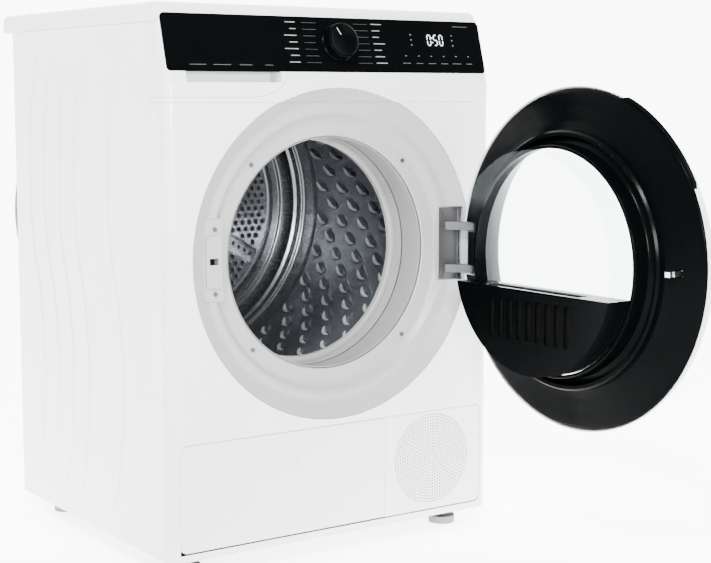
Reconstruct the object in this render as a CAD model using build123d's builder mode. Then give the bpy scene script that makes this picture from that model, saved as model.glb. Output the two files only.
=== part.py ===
from build123d import *
import os
from math import cos, hypot, radians, sin, sqrt

# A front-loading heat-pump clothes dryer with its door standing open.
# Frame: +X to the right of someone facing the machine, the front faces -Y, +Z up.
# The origin is the centre of the four feet, on the floor. Millimetres.

# ---- overall sizes -------------------------------------------------------
WIDTH = 600.0
HEIGHT = 850.0
BODY_DEPTH = 540.0  # front face to the rear edge of the side panels
TOP_OVERHANG = 56.0  # how far the worktop runs back past the side panels
FOOT_CLEARANCE = 31.0  # floor to the lower edge of the panels
TOP_THICKNESS = 29.0
SHEET = 1.2  # steel sheet
WALL = 2.5  # plastic wall
GAP = 0.5  # visible joint between neighbouring covers
RUNNING = 0.05  # radial clearance of a shaft in its bore

FRONT = -BODY_DEPTH / 2
SIDE_REAR = BODY_DEPTH / 2
TOP_UNDER = HEIGHT - TOP_THICKNESS
WRAP = 44.0  # the front covers wrap this far round the sides
CORNER_R = 20.0

# ---- door opening --------------------------------------------------------
DOOR_Z = 472.7
DISH_R = 256.5
RIDGE_R = 225.0
RIDGE_DEPTH = 16.0
RING_R = 204.0
RING_DEPTH = 28.0
PASSAGE_R = 179.0
PASSAGE_REAR_R = 184.0
LIP_R = 174.0

# ---- drum ----------------------------------------------------------------
DRUM_Z = 515.0
DRUM_R = 278.0
DRUM_FRONT = 88.0
DRUM_REAR = BODY_DEPTH + 22.0
FLANGE_R = 236.5
COLLAR_R = 232.5
PLATE_R = 216.0
STEP_DEPTH = 9.0
SHAFT_R = 12.5
SHAFT_REAR = BODY_DEPTH + 48.0
DISH_CLEARANCE = 10.0

# ---- door ----------------------------------------------------------------
DOOR_R = 258.0
HINGE_X = 250.0
HINGE_FORWARD = 16.0  # hinge axis in front of the front face
DOOR_REST_ANGLE = 91.5  # the door stands open by this much
DOOR_BACK = 2.0  # rear edge of the rim, in front of the front face
DOOR_THICKNESS = 32.0
PLUG_R = 172.0  # inner end of the black shell
PLUG_START = 22.0
PLUG_DEPTH = 50.0
BOWL_R = 166.0
BOWL_DEPTH = 91.0
BOWL_WALL = 3.0
SHELF_Z = 433.0
PIN_R = 4.0
ARM_HEIGHT = 13.0
ARM_SPREAD = 69.5  # between the middles of the two hinge arms
HINGE_Z = 471.0

# ---- fascia --------------------------------------------------------------
SEAM_Z = 705.8
LEAN_START = 734.0  # the fascia leans back above this height
LEAN_TOP = 837.0
LEAN_BACK = 29.0
FASCIA_WALL = 5.2
GLASS_BOTTOM = 751.0
GLASS_TOP = 834.0
GLASS_HALF = 290.7
GLASS_THICKNESS = 2.5
CARRIER_LIP = 32.5  # rear of the fascia beside the worktop
KNOB_X = 8.0
KNOB_Z = 795.0
KNOB_R = 27.0
KNOB_HEIGHT = 20.0

# ---- water tank ----------------------------------------------------------
TANK_SPLIT_X = -91.0
TANK_FRONT_Z = 713.3
TANK_FRONT_DEPTH = 32.0
TANK_LEFT = -287.0
TANK_RIGHT = -106.0
TANK_TOP = 810.0
TANK_BOTTOM = 726.0
TANK_START = 41.0
TANK_END = BODY_DEPTH - 40.0
TANK_GAP = 1.5

# ---- lower front ---------------------------------------------------------
KICK_HALF = 282.0
KICK_BOTTOM = 43.5
KICK_TOP = 206.0
KICK_SPLIT_X = 87.0
KICK_R = 12.0
FLAP_PIVOT_DEPTH = 5.5
FLAP_PIVOT_Z = 49.0
FLAP_PIN_R = 2.0
BUTTON_X = -103.6
BUTTON_Z = 160.6
BUTTON_W = 51.0
BUTTON_H = 21.0
GRILLE_X = 181.0
GRILLE_Z = 128.0
GRILLE_RINGS = 8
GRILLE_PITCH = 9.0
GRILLE_HOLE_R = 1.7

# ---- running gear --------------------------------------------------------
MOTOR_X = 205.0
MOTOR_Z = 150.0
MOTOR_R = 58.0
MOTOR_FRONT = 330.0
MOTOR_REAR = 455.0
MOTOR_SHAFT_R = 6.0
PULLEY_R = 12.0
BELT_DEPTH = 290.0
BELT_WIDTH = 10.0
BELT_THICKNESS = 2.5
BELT_GAP = 0.3
IDLER_R = 18.0
ROLLER_R = 35.0
ROLLER_ANGLE = 38.0
ROLLER_DEPTH = 100.0
ROLLER_WIDTH = 18.0
AXLE_R = 6.0
BULKHEAD_DEPTH = 80.0
BLOWER_R = 62.0

# ---- heat pump -----------------------------------------------------------
TUNNEL_LEFT = -284.0
TUNNEL_RIGHT = 62.0
TUNNEL_TOP = 178.0
TUNNEL_START = 76.0
TUNNEL_END = 420.0
COMPRESSOR_X = 196.0
COMPRESSOR_DEPTH = 190.0
COMPRESSOR_R = 58.0
COMPRESSOR_TOP = 214.0

# ---- feet ----------------------------------------------------------------
FOOT_X = 245.0
FOOT_Y = BODY_DEPTH / 2 - 55.0
FOOT_PAD_R = 22.0
FOOT_STUD_R = 5.0


def facing_front(depth):
    """A plane facing the front, at a distance behind the front face."""
    return Plane.XZ.offset(-(FRONT + depth))


def save(piece, label):
    """Names a finished piece and writes it to its own file."""
    piece.part.label = label
    export_step(piece.part, f"parts/{label}.step")


os.makedirs("parts", exist_ok=True)

# ---- feet: a pad and a threaded stud, screwed into the base ---------------
FEET = {
    "foot_front_left": (-FOOT_X, -FOOT_Y),
    "foot_front_right": (FOOT_X, -FOOT_Y),
    "foot_rear_left": (-FOOT_X, FOOT_Y),
    "foot_rear_right": (FOOT_X, FOOT_Y),
}
PAD_HEIGHT = 12.0
NUT_HEIGHT = 6.0
NUT_R = 9.5
TRAY_FLOOR = 4.0
TRAY_UNDER = FOOT_CLEARANCE + 1.5
BOSS_HEIGHT = 24.0
BOSS_R = 14.0
BOSS_CAP = 2.0
STUD_TOP = TRAY_UNDER + BOSS_HEIGHT - 2 * BOSS_CAP
for foot_name, foot_place in FEET.items():
    with BuildPart() as foot:
        with BuildSketch(Plane.XY):
            with Locations(foot_place):
                Circle(FOOT_PAD_R)
        extrude(amount=PAD_HEIGHT)
        with BuildSketch(Plane.XY.offset(PAD_HEIGHT)):
            with Locations(foot_place):
                RegularPolygon(NUT_R, 6)
        extrude(amount=NUT_HEIGHT)
        with BuildSketch(Plane.XY.offset(PAD_HEIGHT + NUT_HEIGHT)):
            with Locations(foot_place):
                Circle(FOOT_STUD_R)
        extrude(amount=STUD_TOP - PAD_HEIGHT - NUT_HEIGHT)
    save(foot, foot_name)

# ---- base tray: moulded floor with a low wall and four bosses --------------
INSIDE_HALF = WIDTH / 2 - SHEET
TRAY_HALF = INSIDE_HALF - 1.3
TRAY_START = WRAP + 3
TRAY_END = BODY_DEPTH - 3.5
TRAY_WALL = 3.0
TRAY_TOP = TRAY_UNDER + 30
FLOOR_Z = TRAY_UNDER + TRAY_FLOOR
TRAY_LENGTH = TRAY_END - TRAY_START
TRAY_MIDDLE = FRONT + TRAY_START + TRAY_LENGTH / 2
with BuildPart() as base_tray:
    with BuildSketch(Plane.XY.offset(TRAY_UNDER)):
        with Locations((0, TRAY_MIDDLE)):
            Rectangle(2 * TRAY_HALF, TRAY_LENGTH)
    extrude(amount=TRAY_TOP - TRAY_UNDER)
    with BuildSketch(Plane.XY.offset(FLOOR_Z)):
        with Locations((0, TRAY_MIDDLE)):
            Rectangle(2 * (TRAY_HALF - TRAY_WALL), TRAY_LENGTH - 2 * TRAY_WALL)
    extrude(amount=TRAY_TOP - TRAY_UNDER, mode=Mode.SUBTRACT)
    with BuildSketch(Plane.XY.offset(TRAY_UNDER)):
        with Locations(*FEET.values()):
            Circle(BOSS_R)
    extrude(amount=BOSS_HEIGHT)
    with BuildSketch(Plane.XY.offset(TRAY_UNDER)):
        with Locations(*FEET.values()):
            Circle(FOOT_STUD_R + RUNNING)
    extrude(amount=BOSS_HEIGHT - BOSS_CAP, mode=Mode.SUBTRACT)
save(base_tray, "base_tray")

# ---- side panels: steel sheet with five wave-shaped swages -----------------
RIB_TOPS = (140.0, 262.0, 320.0, 378.0, 435.0)
RIB_WIDTH = 18.0
RIB_PRESS = 2.0
RIB_TOP_Z = 787.0
# How far the swage has run back (second) at each drop below its top (first).
RIB_WAVE = (
    (0, 0),
    (66, 24),
    (137, 35),
    (252, 40),
    (330, 29),
    (372, 14),
    (447, 1),
    (502, -3),
    (582, 3),
    (657, 17),
    (719, 38),
)
SIDE_FLANGE = 9.0
SIDE_LENGTH = BODY_DEPTH - WRAP - GAP
SIDE_MIDDLE = FRONT + WRAP + GAP + SIDE_LENGTH / 2
for side, side_name in ((-1, "left_side_panel"), (1, "right_side_panel")):
    outer_x = side * WIDTH / 2
    with BuildPart() as side_panel:
        with BuildSketch(Plane.XY.offset(FOOT_CLEARANCE)):
            with Locations((outer_x - side * SHEET / 2, SIDE_MIDDLE)):
                Rectangle(SHEET, SIDE_LENGTH)
            with Locations((outer_x - side * SIDE_FLANGE / 2, SIDE_REAR - SHEET / 2)):
                Rectangle(SIDE_FLANGE, SHEET)
        extrude(amount=TOP_UNDER - GAP - FOOT_CLEARANCE)
        for width, press, mode in (
            (RIB_WIDTH + 2 * SHEET, RIB_PRESS + SHEET, Mode.ADD),
            (RIB_WIDTH, RIB_PRESS, Mode.SUBTRACT),
        ):
            for rib_top in RIB_TOPS:
                start_y = FRONT + rib_top - width / 2
                front_edge = [(start_y + back, RIB_TOP_Z - drop) for drop, back in RIB_WAVE]
                rear_edge = [(y + width, z) for y, z in front_edge]
                with BuildSketch(Plane.YZ.offset(outer_x)):
                    with BuildLine():
                        Spline(*front_edge)
                        Spline(*rear_edge)
                        Line(front_edge[0], rear_edge[0])
                        Line(front_edge[-1], rear_edge[-1])
                    make_face()
                extrude(amount=-side * press, mode=mode)
    save(side_panel, side_name)

# ---- rear panel: sheet with a round dish behind the drum -------------------
REAR_FACE = BODY_DEPTH - SHEET
REAR_HALF = INSIDE_HALF - 0.3
DISH_BACK = DRUM_REAR + SHEET + DISH_CLEARANCE
REAR_DISH_R = DRUM_R + SHEET + DISH_CLEARANCE
REAR_TOP = TOP_UNDER - 1
REAR_MIDDLE_Z = (FOOT_CLEARANCE + 1 + REAR_TOP) / 2
SHAFT_HOLE_R = 20.0
AIR_HOLE_R = 22.0
AIR_HOLE_CIRCLE = 78.0
DRAIN_X = -272.0
DRAIN_Z = 138.0
DRAIN_R = 7.0
GLAND_X = 215.0
GLAND_Z = 770.0
GLAND_R = 6.0
BLOWER_OUTLET_R = 55.0
with BuildPart() as rear_panel:
    with BuildSketch(facing_front(REAR_FACE)):
        with Locations((0, REAR_MIDDLE_Z)):
            Rectangle(2 * REAR_HALF, REAR_TOP - FOOT_CLEARANCE - 1)
    extrude(amount=SHEET)
    with BuildSketch(facing_front(REAR_FACE - SHEET)):
        with Locations((0, DRUM_Z)):
            Circle(REAR_DISH_R + SHEET)
    extrude(amount=-(DISH_BACK + SHEET - REAR_FACE + SHEET))
    with BuildSketch(facing_front(REAR_FACE - SHEET)):
        with Locations((0, DRUM_Z)):
            Circle(REAR_DISH_R)
    extrude(amount=-(DISH_BACK - REAR_FACE + SHEET), mode=Mode.SUBTRACT)
    with BuildSketch(facing_front(DISH_BACK)):
        with Locations((0, DRUM_Z)):
            Circle(SHAFT_HOLE_R)
            with PolarLocations(AIR_HOLE_CIRCLE, 8, start_angle=22.5):
                Circle(AIR_HOLE_R)
    extrude(amount=-SHEET, mode=Mode.SUBTRACT)
    with BuildSketch(facing_front(REAR_FACE - SHEET)):
        with Locations((MOTOR_X, MOTOR_Z)):
            Circle(BLOWER_OUTLET_R)
        with Locations((DRAIN_X, DRAIN_Z)):
            Circle(DRAIN_R + GAP)
        with Locations((GLAND_X, GLAND_Z)):
            Circle(GLAND_R + WALL)
    extrude(amount=-SHEET, mode=Mode.SUBTRACT)
save(rear_panel, "rear_panel")

# ---- rear duct cover: carries air from the blower to the drum --------------
DUCT_REAR = BODY_DEPTH + 52.0
DUCT_DRUM_R = 112.0
DUCT_BLOWER_R = 78.0
DUCT_START = REAR_FACE + GAP
with BuildPart() as rear_duct_cover:
    with BuildSketch(facing_front(DUCT_START)):
        with Locations((0, DRUM_Z)):
            Circle(DUCT_DRUM_R)
        with Locations((MOTOR_X, MOTOR_Z)):
            Circle(DUCT_BLOWER_R)
        make_hull()
    extrude(amount=-(DUCT_REAR - DUCT_START))
    with BuildSketch(facing_front(DUCT_START)):
        with Locations((0, DRUM_Z)):
            Circle(DUCT_DRUM_R - WALL)
        with Locations((MOTOR_X, MOTOR_Z)):
            Circle(DUCT_BLOWER_R - WALL)
        make_hull()
    extrude(amount=-(DUCT_REAR - WALL - DUCT_START), mode=Mode.SUBTRACT)
    with BuildSketch(facing_front(DUCT_START)):
        with Locations((0, DRUM_Z)):
            Circle(REAR_DISH_R + SHEET + 0.4)
    extrude(amount=-(DISH_BACK + SHEET + 0.4 - DUCT_START), mode=Mode.SUBTRACT)
save(rear_duct_cover, "rear_duct_cover")

# ---- worktop: hollow moulded lid with rounded edges ------------------------
TOP_START = CARRIER_LIP + GAP
TOP_LENGTH = BODY_DEPTH + TOP_OVERHANG - TOP_START
TOP_MIDDLE = FRONT + TOP_START + TOP_LENGTH / 2
TOP_ROUND = 12.0
TOP_WALL = 3.0
with BuildPart() as top_panel:
    with BuildSketch(Plane.XY.offset(TOP_UNDER)):
        with Locations((0, TOP_MIDDLE)):
            RectangleRounded(WIDTH, TOP_LENGTH, CORNER_R)
    extrude(amount=TOP_THICKNESS)
    fillet(top_panel.faces().sort_by(Axis.Z)[-1].edges(), TOP_ROUND)
    with BuildSketch(Plane.XY.offset(TOP_UNDER)):
        with Locations((0, TOP_MIDDLE)):
            RectangleRounded(WIDTH - 2 * TOP_ROUND, TOP_LENGTH - 2 * TOP_ROUND, CORNER_R - TOP_ROUND)
    extrude(amount=TOP_THICKNESS - TOP_WALL, mode=Mode.SUBTRACT)
save(top_panel, "top_panel")

# ---- front panel: sheet wrapped round both corners -------------------------
FRONT_TOP = SEAM_Z - GAP
FLAP_SWING = 1.7  # room under the flap for its lower edge to swing through
KICK_MARGIN = 1.5 * GAP
with BuildPart() as front_panel:
    with BuildSketch(Plane.XY.offset(FOOT_CLEARANCE)):
        with Locations((0, FRONT + WRAP)):
            RectangleRounded(WIDTH, 2 * WRAP, CORNER_R)
            RectangleRounded(WIDTH - 2 * SHEET, 2 * (WRAP - SHEET), CORNER_R - SHEET, mode=Mode.SUBTRACT)
        with Locations((0, FRONT + 1.5 * WRAP)):
            Rectangle(WIDTH, WRAP, mode=Mode.SUBTRACT)
    extrude(amount=FRONT_TOP - FOOT_CLEARANCE)
    with BuildSketch(facing_front(0)):
        with Locations((0, DOOR_Z)):
            Circle(DISH_R + GAP)
        with Locations((0, (KICK_BOTTOM - FLAP_SWING + KICK_TOP + KICK_MARGIN) / 2)):
            RectangleRounded(
                2 * (KICK_HALF + GAP),
                KICK_TOP + KICK_MARGIN - KICK_BOTTOM + FLAP_SWING,
                KICK_R + GAP,
            )
        # The opening's lower left corner is square, so the flap's corner can swing through it.
        with Locations((KICK_R / 2 - KICK_HALF - GAP, KICK_BOTTOM - FLAP_SWING + KICK_R / 2)):
            Rectangle(KICK_R, KICK_R)
    extrude(amount=-2 * SHEET, mode=Mode.SUBTRACT)
save(front_panel, "front_panel")


# ---- dish round the door opening, split by the seam under the fascia -------
def dish_ring():
    """The bezel's full ring, revolved about the door opening's axis."""
    with BuildSketch(Plane.XY.offset(DOOR_Z)) as section:
        with BuildLine():
            face = [
                (DISH_R, 0),
                (DISH_R - 4.5, 3),
                (RIDGE_R + 9, RIDGE_DEPTH - 1),
                (RIDGE_R, RIDGE_DEPTH),
                (RIDGE_R - 9, RIDGE_DEPTH + 1),
                (RING_R + 3, RING_DEPTH - 1),
                (RING_R - 1, RING_DEPTH + 0.5),
                (PASSAGE_R + 2, RING_DEPTH + 2),
            ]
            back = [(r + 0.5, d + WALL) for r, d in reversed(face)]
            Polyline(*[(r, FRONT + d) for r, d in face + back], close=True)
        make_face()
    revolve(section.sketch, axis=Axis((0, 0, DOOR_Z), (0, 1, 0)))


LATCH_POCKET = (-213.5, 474.5, 37.0, 125.0)  # middle x and z, width, height
HINGE_POCKET = (225.0, 477.0, 40.0, 120.0)
POCKET_FLOOR = 18.0
LATCH_SLOT_X = -212.5
LATCH_SLOT_Z = 472.5
with BuildPart() as door_bezel:
    dish_ring()
    for mid_x, mid_z, wide, high in (LATCH_POCKET, HINGE_POCKET):
        with BuildSketch(facing_front(-1)):
            with Locations((mid_x, mid_z)):
                Rectangle(wide, high)
        extrude(amount=-(POCKET_FLOOR + 1), mode=Mode.SUBTRACT)
        with BuildSketch(facing_front(POCKET_FLOOR)):
            with Locations((mid_x, mid_z)):
                Rectangle(wide + 2, high + 2)
        extrude(amount=-WALL)
        with BuildSketch(facing_front(POCKET_FLOOR)):
            with Locations((mid_x, mid_z)):
                Rectangle(wide + 2, high + 2)
                Rectangle(wide - WALL, high - WALL, mode=Mode.SUBTRACT)
        extrude(amount=-(RING_DEPTH + 2 - POCKET_FLOOR))
        with BuildSketch(facing_front(POCKET_FLOOR + WALL)):
            with Locations((mid_x, mid_z)):
                Rectangle(wide - WALL, high - WALL)
        extrude(amount=-(RING_DEPTH - POCKET_FLOOR), mode=Mode.SUBTRACT)
    with BuildSketch(facing_front(-1)):
        with Locations((LATCH_SLOT_X, LATCH_SLOT_Z)):
            Rectangle(17, 17)
    extrude(amount=-2 * RING_DEPTH, mode=Mode.SUBTRACT)
    with BuildSketch(facing_front(-1)):
        with Locations((0, FRONT_TOP + WIDTH / 2)):
            Rectangle(WIDTH, WIDTH)
    extrude(amount=-2 * RING_DEPTH, mode=Mode.SUBTRACT)
    with BuildSketch(facing_front(-1)):
        with Locations((0, DOOR_Z)):
            Circle(PASSAGE_R + 2)
    extrude(amount=-2 * RING_DEPTH, mode=Mode.SUBTRACT)
save(door_bezel, "door_bezel")

with BuildPart() as dish_top:
    dish_ring()
    with BuildSketch(facing_front(-1)):
        with Locations((0, SEAM_Z - WIDTH / 2)):
            Rectangle(WIDTH, WIDTH)
    extrude(amount=-2 * RING_DEPTH, mode=Mode.SUBTRACT)


# ---- fascia: everything above the seam, leaning back at the top ------------
def fascia_block(inset, mode):
    """The fascia's outer form, or with an inset its hollow."""
    with BuildSketch(Plane.XY.offset(SEAM_Z)) as lower:
        with Locations((0, FRONT + WRAP)):
            RectangleRounded(WIDTH - 2 * inset, 2 * (WRAP - inset), CORNER_R - inset)
    extrude(lower.sketch, amount=LEAN_START - SEAM_Z, mode=mode)
    with BuildSketch(Plane.XY.offset(LEAN_START)) as upper:
        with Locations((0, FRONT + WRAP)):
            RectangleRounded(WIDTH - 2 * inset, 2 * (WRAP - inset), CORNER_R - inset)
    climb = LEAN_TOP - LEAN_START - inset
    lean = (0, LEAN_BACK, LEAN_TOP - LEAN_START)
    extrude(upper.sketch, amount=climb * STRETCH, dir=lean, mode=mode)


def trim_back(depth, low, high):
    """Cuts off whatever lies behind a depth, between two heights."""
    with BuildSketch(Plane.YZ) as behind:
        with Locations((FRONT + depth + WIDTH / 2, (low + high) / 2)):
            Rectangle(WIDTH, high - low)
    extrude(behind.sketch, amount=WIDTH, both=True, mode=Mode.SUBTRACT)


def drawer_block(grow, depth, mode):
    """Cuts to, or cuts away, the tank drawer's front outline down to a depth."""
    bottom = TANK_FRONT_Z - grow
    right = TANK_SPLIT_X + grow
    with BuildSketch(facing_front(-1)) as outline:
        with BuildLine():
            Line((-WIDTH, bottom), (right - 76, bottom))
            Bezier(
                (right - 76, bottom),
                (right - 20, bottom),
                (right, bottom + 20),
                (right, bottom + 39),
            )
            Line((right, bottom + 39), (right, LEAN_TOP + 1))
            Line((right, LEAN_TOP + 1), (-WIDTH, LEAN_TOP + 1))
            Line((-WIDTH, LEAN_TOP + 1), (-WIDTH, bottom))
        make_face()
    extrude(outline.sketch, amount=-(depth + 1), mode=mode)


LEAN_NORMAL = (0, -(LEAN_TOP - LEAN_START), LEAN_BACK)
LEAN_SLOPE = LEAN_BACK / (LEAN_TOP - LEAN_START)
STRETCH = hypot(1, LEAN_SLOPE)


def lean_plane(x, z, lift=0.0):
    """A plane on the leaning face, through x and z, lifted off it outwards."""
    base = (x, FRONT + (z - LEAN_START) * LEAN_SLOPE, z)
    return Plane(origin=base, x_dir=(1, 0, 0), z_dir=LEAN_NORMAL).offset(lift)


def glass_outline(left, right, grow):
    """One stretch of the glossy strip, between two distances across."""
    high = (GLASS_TOP - GLASS_BOTTOM) * STRETCH
    RectangleRounded(2 * GLASS_HALF + 2 * grow, high + 2 * grow, GLASS_R)
    with Locations(((left + right) / 2, 0)):
        Rectangle(right - left, 2 * high, mode=Mode.INTERSECT)


GLASS_R = 7.0
GLASS_MIDDLE_Z = (GLASS_TOP + GLASS_BOTTOM) / 2
GLASS_FIT = 0.2
POCKET_DEPTH = GLASS_THICKNESS + GLASS_FIT
with BuildPart() as fascia_carrier:
    fascia_block(0, Mode.ADD)
    fascia_block(FASCIA_WALL, Mode.SUBTRACT)
    trim_back(WRAP, SEAM_Z - 1, LEAN_TOP + 1)
    trim_back(CARRIER_LIP, TOP_UNDER - GAP, LEAN_TOP + 1)
    with BuildSketch(facing_front(-1)):
        with Locations((0, DOOR_Z)):
            Circle(DISH_R - 1)
    extrude(amount=-WRAP, mode=Mode.SUBTRACT)
    add(dish_top.part)
    drawer_block(GAP, TANK_FRONT_DEPTH + GAP, Mode.SUBTRACT)
    with BuildSketch(lean_plane(0, GLASS_MIDDLE_Z)):
        glass_outline(TANK_SPLIT_X, GLASS_HALF + 1, GLASS_FIT)
    extrude(amount=-POCKET_DEPTH, mode=Mode.SUBTRACT)
    with BuildSketch(lean_plane(KNOB_X, KNOB_Z)):
        Circle(KNOB_R - 6)
    extrude(amount=-2 * FASCIA_WALL, mode=Mode.SUBTRACT)
save(fascia_carrier, "fascia_carrier")

KNOB_SHAFT_R = 3.0
KNOB_LIFT = 0.8
KNOB_SHAFT_END = 12.0
KNOB_SKIRT = 2.0
with BuildPart() as control_glass:
    with BuildSketch(lean_plane(0, GLASS_MIDDLE_Z)):
        glass_outline(TANK_SPLIT_X + GAP, GLASS_HALF + 1, 0)
    extrude(amount=-GLASS_THICKNESS)
    with BuildSketch(lean_plane(KNOB_X, KNOB_Z)):
        Circle(KNOB_SHAFT_R + RUNNING)
    extrude(amount=-GLASS_THICKNESS, mode=Mode.SUBTRACT)
save(control_glass, "control_glass")

# ---- programme knob and the control board behind it ------------------------
with BuildPart() as selector_knob:
    with BuildSketch(lean_plane(KNOB_X, KNOB_Z, KNOB_LIFT)):
        Circle(KNOB_R + KNOB_SKIRT)
    extrude(amount=3)
    with BuildSketch(lean_plane(KNOB_X, KNOB_Z, KNOB_LIFT + 3)):
        Circle(KNOB_R)
    extrude(amount=KNOB_HEIGHT - 3)
    fillet(selector_knob.faces().sort_by(Axis.Y)[0].edges(), 1.5)
    with BuildSketch(lean_plane(KNOB_X, KNOB_Z, KNOB_LIFT)):
        Circle(KNOB_SHAFT_R)
    extrude(amount=-(KNOB_SHAFT_END + KNOB_LIFT))
save(selector_knob, "selector_knob")

BOARD_DROP = 16.0
BOARD_THICKNESS = 1.6
BOARD_WIDTH = 340.0
BOARD_HEIGHT = 50.0
ENCODER = 16.0
with BuildPart() as control_board:
    with BuildSketch(lean_plane(0, KNOB_Z, -BOARD_DROP)):
        with Locations((TANK_SPLIT_X + 15 + BOARD_WIDTH / 2, 0)):
            Rectangle(BOARD_WIDTH, BOARD_HEIGHT)
    extrude(amount=-BOARD_THICKNESS)
    with BuildSketch(lean_plane(KNOB_X, KNOB_Z, -BOARD_DROP)):
        Rectangle(ENCODER, ENCODER)
    extrude(amount=BOARD_DROP - KNOB_SHAFT_END + 2)
    with BuildSketch(lean_plane(KNOB_X, KNOB_Z, -BOARD_DROP + 1)):
        Circle(KNOB_SHAFT_R + RUNNING)
    extrude(amount=BOARD_DROP, mode=Mode.SUBTRACT)
save(control_board, "control_board")


# ---- water tank drawer -----------------------------------------------------
def tank_section(grow, depth, length, mode):
    """The tank's section, its underside arched over the drum."""
    with BuildSketch(facing_front(depth)) as section:
        with Locations(((TANK_LEFT + TANK_RIGHT) / 2, (TANK_TOP + TANK_BOTTOM) / 2)):
            Rectangle(TANK_RIGHT - TANK_LEFT + 2 * grow, TANK_TOP - TANK_BOTTOM + 2 * grow)
        with Locations((0, DRUM_Z)):
            Circle(TANK_ARCH_R - grow, mode=Mode.SUBTRACT)
    extrude(section.sketch, amount=-length, mode=mode)


TANK_ARCH_R = 292.0
TANK_WALL = 2.0
GUIDE_START = WRAP + 2
GUIDE_END = TANK_END + 5
FILLER_R = 12.0
with BuildPart() as water_tank:
    tank_section(0, TANK_START, TANK_END - TANK_START, Mode.ADD)
    tank_section(
        -TANK_WALL,
        TANK_START + TANK_WALL,
        TANK_END - TANK_START - 2 * TANK_WALL,
        Mode.SUBTRACT,
    )
    with BuildSketch(Plane.XY.offset(TANK_TOP)):
        with Locations((TANK_LEFT + 60, FRONT + TANK_END - 40)):
            Circle(FILLER_R)
    extrude(amount=-2 * TANK_WALL, mode=Mode.SUBTRACT)
save(water_tank, "water_tank")

with BuildPart() as tank_guide:
    tank_section(TANK_GAP + TANK_WALL, GUIDE_START, GUIDE_END - GUIDE_START, Mode.ADD)
    tank_section(TANK_GAP, GUIDE_START, GUIDE_END - GUIDE_START, Mode.SUBTRACT)
save(tank_guide, "tank_guide")

RECESS_LEFT = -262.0
RECESS_RIGHT = -102.0
RECESS_BOTTOM = 735.0
RECESS_TOP = 787.0
RECESS_BACK = 35.0
RECESS_MIDDLE = (RECESS_LEFT + RECESS_RIGHT) / 2
RECESS_WIDTH = RECESS_RIGHT - RECESS_LEFT
UPPER_START = (RECESS_TOP + WALL - LEAN_START) * LEAN_SLOPE + 3
with BuildPart() as tank_front:
    fascia_block(0, Mode.ADD)
    fascia_block(FASCIA_WALL, Mode.SUBTRACT)
    trim_back(TANK_FRONT_DEPTH, SEAM_Z - 1, LEAN_TOP + 1)
    drawer_block(0, TANK_FRONT_DEPTH + 1, Mode.INTERSECT)
    for low, high, start in (
        (RECESS_BOTTOM, GLASS_BOTTOM - WALL, FASCIA_WALL),
        (RECESS_BOTTOM + WALL, RECESS_TOP, UPPER_START),
    ):
        with BuildSketch(facing_front(start)):
            with Locations((RECESS_MIDDLE, (low + high) / 2)):
                Rectangle(RECESS_WIDTH + 2 * WALL, high - low + 2 * WALL)
        extrude(amount=-(RECESS_BACK + WALL - start))
    with BuildSketch(facing_front(-1)):
        with Locations((RECESS_MIDDLE, (RECESS_BOTTOM + GLASS_BOTTOM) / 2)):
            Rectangle(RECESS_WIDTH, GLASS_BOTTOM - RECESS_BOTTOM)
    extrude(amount=-(RECESS_BACK + 1), mode=Mode.SUBTRACT)
    with BuildSketch(facing_front(UPPER_START + WALL)):
        with Locations((RECESS_MIDDLE, (RECESS_BOTTOM + RECESS_TOP) / 2)):
            Rectangle(RECESS_WIDTH, RECESS_TOP - RECESS_BOTTOM)
    extrude(amount=-(RECESS_BACK - UPPER_START - WALL), mode=Mode.SUBTRACT)
    with BuildSketch(facing_front(RECESS_BACK + WALL)):
        with Locations((RECESS_MIDDLE, (RECESS_BOTTOM + RECESS_TOP) / 2)):
            Rectangle(RECESS_WIDTH / 2, RECESS_TOP - RECESS_BOTTOM)
    extrude(amount=-(TANK_START - RECESS_BACK - WALL))
    with BuildSketch(lean_plane(0, GLASS_MIDDLE_Z)):
        glass_outline(-GLASS_HALF - 1, TANK_SPLIT_X + 1, GLASS_FIT)
    extrude(amount=-POCKET_DEPTH, mode=Mode.SUBTRACT)
save(tank_front, "tank_front")

with BuildPart() as tank_trim:
    with BuildSketch(lean_plane(0, GLASS_MIDDLE_Z)):
        glass_outline(-GLASS_HALF - 1, TANK_SPLIT_X, 0)
    extrude(amount=-GLASS_THICKNESS)
save(tank_trim, "tank_trim")

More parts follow.
